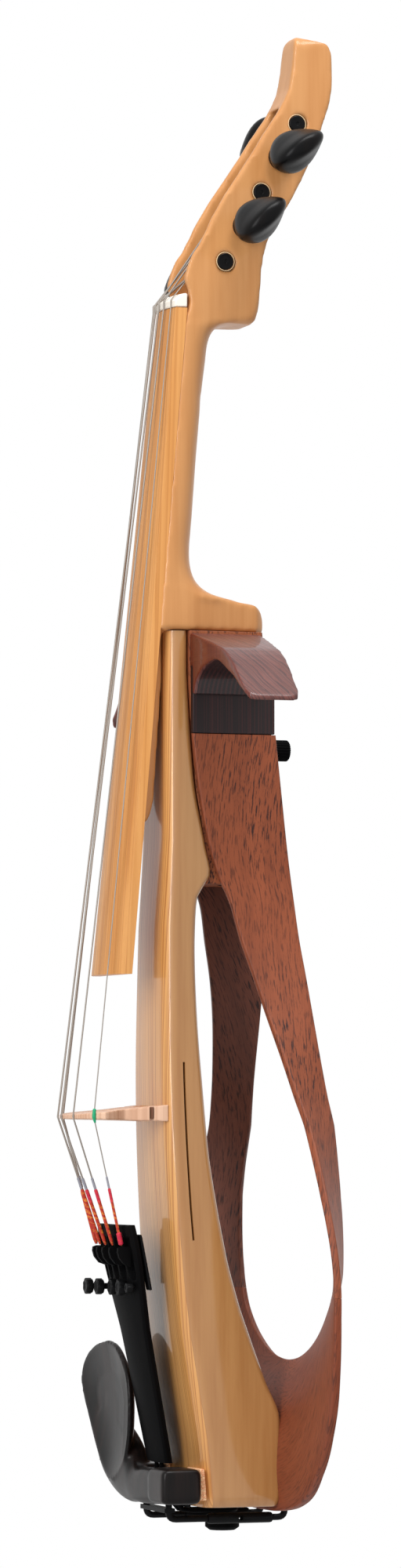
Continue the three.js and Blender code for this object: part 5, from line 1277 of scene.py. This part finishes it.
def chin_share(x, z):
    """How far a place lies from the plate's middle (0) towards its outline (1), along its own direction."""
    line = chin_line(361, 2)
    angles, radii = np.arctan2(line[:, 1], line[:, 0]), np.linalg.norm(line, axis=1)
    order = np.argsort(angles)
    dx, dz = x - CHIN_MIDDLE[0], z - CHIN_MIDDLE[1]
    return np.hypot(dx, dz) / np.interp(np.arctan2(dz, dx), angles[order], radii[order], period=2 * np.pi)


def dished(points):
    """Presses the plate's front down to the dish y = -5.6 + 3.2 (1 - share^2.4) inside its rim."""
    share = chin_share(points[:, 0], points[:, 2])
    dish = -5.6 + 3.2 * (1 - np.minimum(share / 0.95, 1) ** 2.4)
    here = (share < 0.97) & (points[:, 1] < 0)
    points[here, 1] = np.maximum(points[here, 1], dish[here])
    return points


def chin_lofts():
    """The dished plate around its middle, a shoulder that runs from it into the bar, and the two feet."""
    flat = CHIN_MIDDLE + chin_line(109, 1)[:-1] * CHIN_SECTION[:, :1, None]
    depth = np.broadcast_to(CHIN_SECTION[:, 1:], flat.shape[:2])
    lofts = [np.stack([flat[..., 0], depth, flat[..., 1]], -1)]

    a = np.linspace(0, 2 * np.pi, 40, endpoint=False)
    line = curve_at(CHIN_BAR, np.linspace(0, len(CHIN_BAR) - 1, 60))
    across, y, half_y, z, half_z = line.T[..., None]
    y, z = y + half_y * signed_power(np.cos(a), 0.8), z + half_z * signed_power(np.sin(a), 0.8)
    lofts.append(np.stack([np.broadcast_to(across, y.shape), y, z], -1))

    inset = FOOT_INSET[:, None]
    for low, high, front in CHIN_FEET:
        across = np.array([low, low + 0.3, low + 1, low + 2, high - 2, high - 1, high - 0.3, high])[:, None]
        middle, half = (front + FOOT_BACK) / 2, (FOOT_BACK - front) / 2
        y = middle + (half - inset) * signed_power(np.cos(a), 0.3)
        z = FOOT_Z + (FOOT_HALF - inset) * signed_power(np.sin(a), 0.3)
        lofts.append(np.stack([np.broadcast_to(across, y.shape), y, z], -1))
    return lofts


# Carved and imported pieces

def mark_wing(wing):
    """Marks where a wing shows its front and, on its under and inner sides, its striped veneer."""
    points = points_of(wing)
    normals = np.empty(len(points) * 3)
    wing.data.vertices.foreach_get("normal", normals)
    _, normal_y, normal_z = normals.reshape(-1, 3).T
    x, y, z = np.abs(points[:, 0]), points[:, 1], points[:, 2]
    under = (normal_z < 0.25) & (y > 11.7) & (normal_y > -0.75) & (x < 74)
    inner = (x < 26) & (y > 11.7) & (normal_z < 0.5) & (z < HEEL_Z - 6)
    front = (normal_y < -0.5) & (y < 16)
    for label, there in (("Veneer", (under | inner) & ~front), ("Front", front)):
        mark = wing.data.attributes.new(label, "FLOAT", "POINT")
        mark.data.foreach_set("value", there.astype(np.float32))


class CarvedPiecesOperator(bpy.types.Operator):
    """Gives the carved pieces their rounded edges by drawing a fine even surface together"""
    bl_idname = "violin.carved"
    bl_label = "Carved pieces"

    def execute(self, context):
        remeshed("neck", "neck_skin", "instrument", "neck_maple", 0.8, 16,
                 fillers=[neck_rings(HEEL_BACK), neck_rings(LEDGE_BACK)], trim=rounded_neck,
                 hold=lambda points: np.where(points[:, 2] > 1, 0.45, 1))
        for side in ("treble", "bass"):
            wing = "wing_" + side
            mark_wing(remeshed(wing, "wing_skin_" + side, "instrument", "wing_walnut", 0.6, 6))
        remeshed("chin_rest", "chin_rest_skin", "instrument", "chin_ebony", 0.6, 9,
                 fillers=chin_lofts(), alone=True, trim=dished)
        for name in STRINGS:
            lever = "tuner_lever_" + name
            remeshed(lever, "lever_skin_" + name, lever, "black_steel", 0.4, 10)
        remeshed("bridge", "bridge_skin", "instrument", "bridge_maple", 0.32, 2)
        return {"FINISHED"}


OWN_FINISHES = {"trunk_block": "block_walnut", "fingerboard": "board_wood"}
EDGE_WIDTHS = {
    "fingerboard": 0.7, "nut": 0.5, "trunk_block": 0.6, "cheek_treble": 0.3, "cheek_bass": 0.3,
    "control_cover": 0.4, "saddle": 0.8, "end_button": 0.5, "volume_knob": 0.12, "cork_pad_bass": 0.4,
    "cork_pad_treble": 0.4,
}
EDGE_WIDTH, CHEEK_RISE = 0.2, 1.4


class SmallPiecesOperator(bpy.types.Operator):
    """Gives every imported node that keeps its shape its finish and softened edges"""
    bl_idname = "violin.small_pieces"
    bl_label = "Small pieces"

    def execute(self, context):
        slots = {s["node"]: s["material_slot"] for s in frame["record"]["subparts"]}
        done = {n for piece in bpy.data.objects for n in piece.get("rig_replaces", [])}
        for name, node in frame["nodes"].items():
            if name in done:
                continue
            slot, angle = slots[name], 50 if name == "volume_knob" else 30
            piece = bevelled(name, name + "_skin", node["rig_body"], OWN_FINISHES.get(name, slot),
                             EDGE_WIDTHS.get(name, EDGE_WIDTH), angle)
            if name.startswith("cheek"):
                points = points_of(piece)
                points[points[:, 2] > points[:, 2].max() - 0.5, 2] += CHEEK_RISE
                put_points(piece, points)
        return {"FINISHED"}


# Add-on

OPERATORS = [StageOperator, RibbonOperator, BodyOperator, PegsOperator, StringsOperator, TailpieceOperator,
             CarvedPiecesOperator, SmallPiecesOperator]


class ViolinPanel(bpy.types.Panel):
    """Lists the sizes and colours, and the steps that make the pieces"""
    bl_idname = "VIOLIN_PT_pieces"
    bl_label = "Electric Violin"
    bl_space_type = "VIEW_3D"
    bl_region_type = "UI"
    bl_category = "Violin"

    def draw(self, context):
        """One row for each property, and then one button for each step."""
        for group in (context.scene.violin_sizes, context.scene.violin_colours):
            for name in group.__annotations__:
                self.layout.prop(group, name)
        for kind in OPERATORS:
            self.layout.operator(kind.bl_idname)


CLASSES = (ViolinSizes, ViolinColours, *OPERATORS, ViolinPanel)


def register():
    """Makes the classes and the two groups of properties known to the scene."""
    for kind in CLASSES:
        bpy.utils.register_class(kind)
    bpy.types.Scene.violin_sizes = bpy.props.PointerProperty(type=ViolinSizes)
    bpy.types.Scene.violin_colours = bpy.props.PointerProperty(type=ViolinColours)


def unregister():
    """Takes back what register made known, in the opposite order."""
    del bpy.types.Scene.violin_sizes, bpy.types.Scene.violin_colours
    for kind in reversed(CLASSES):
        bpy.utils.unregister_class(kind)


def main():
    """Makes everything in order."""
    register()
    for kind in OPERATORS:
        group, name = kind.bl_idname.split(".")
        getattr(getattr(bpy.ops, group), name)()


if __name__ == "__main__":
    main()
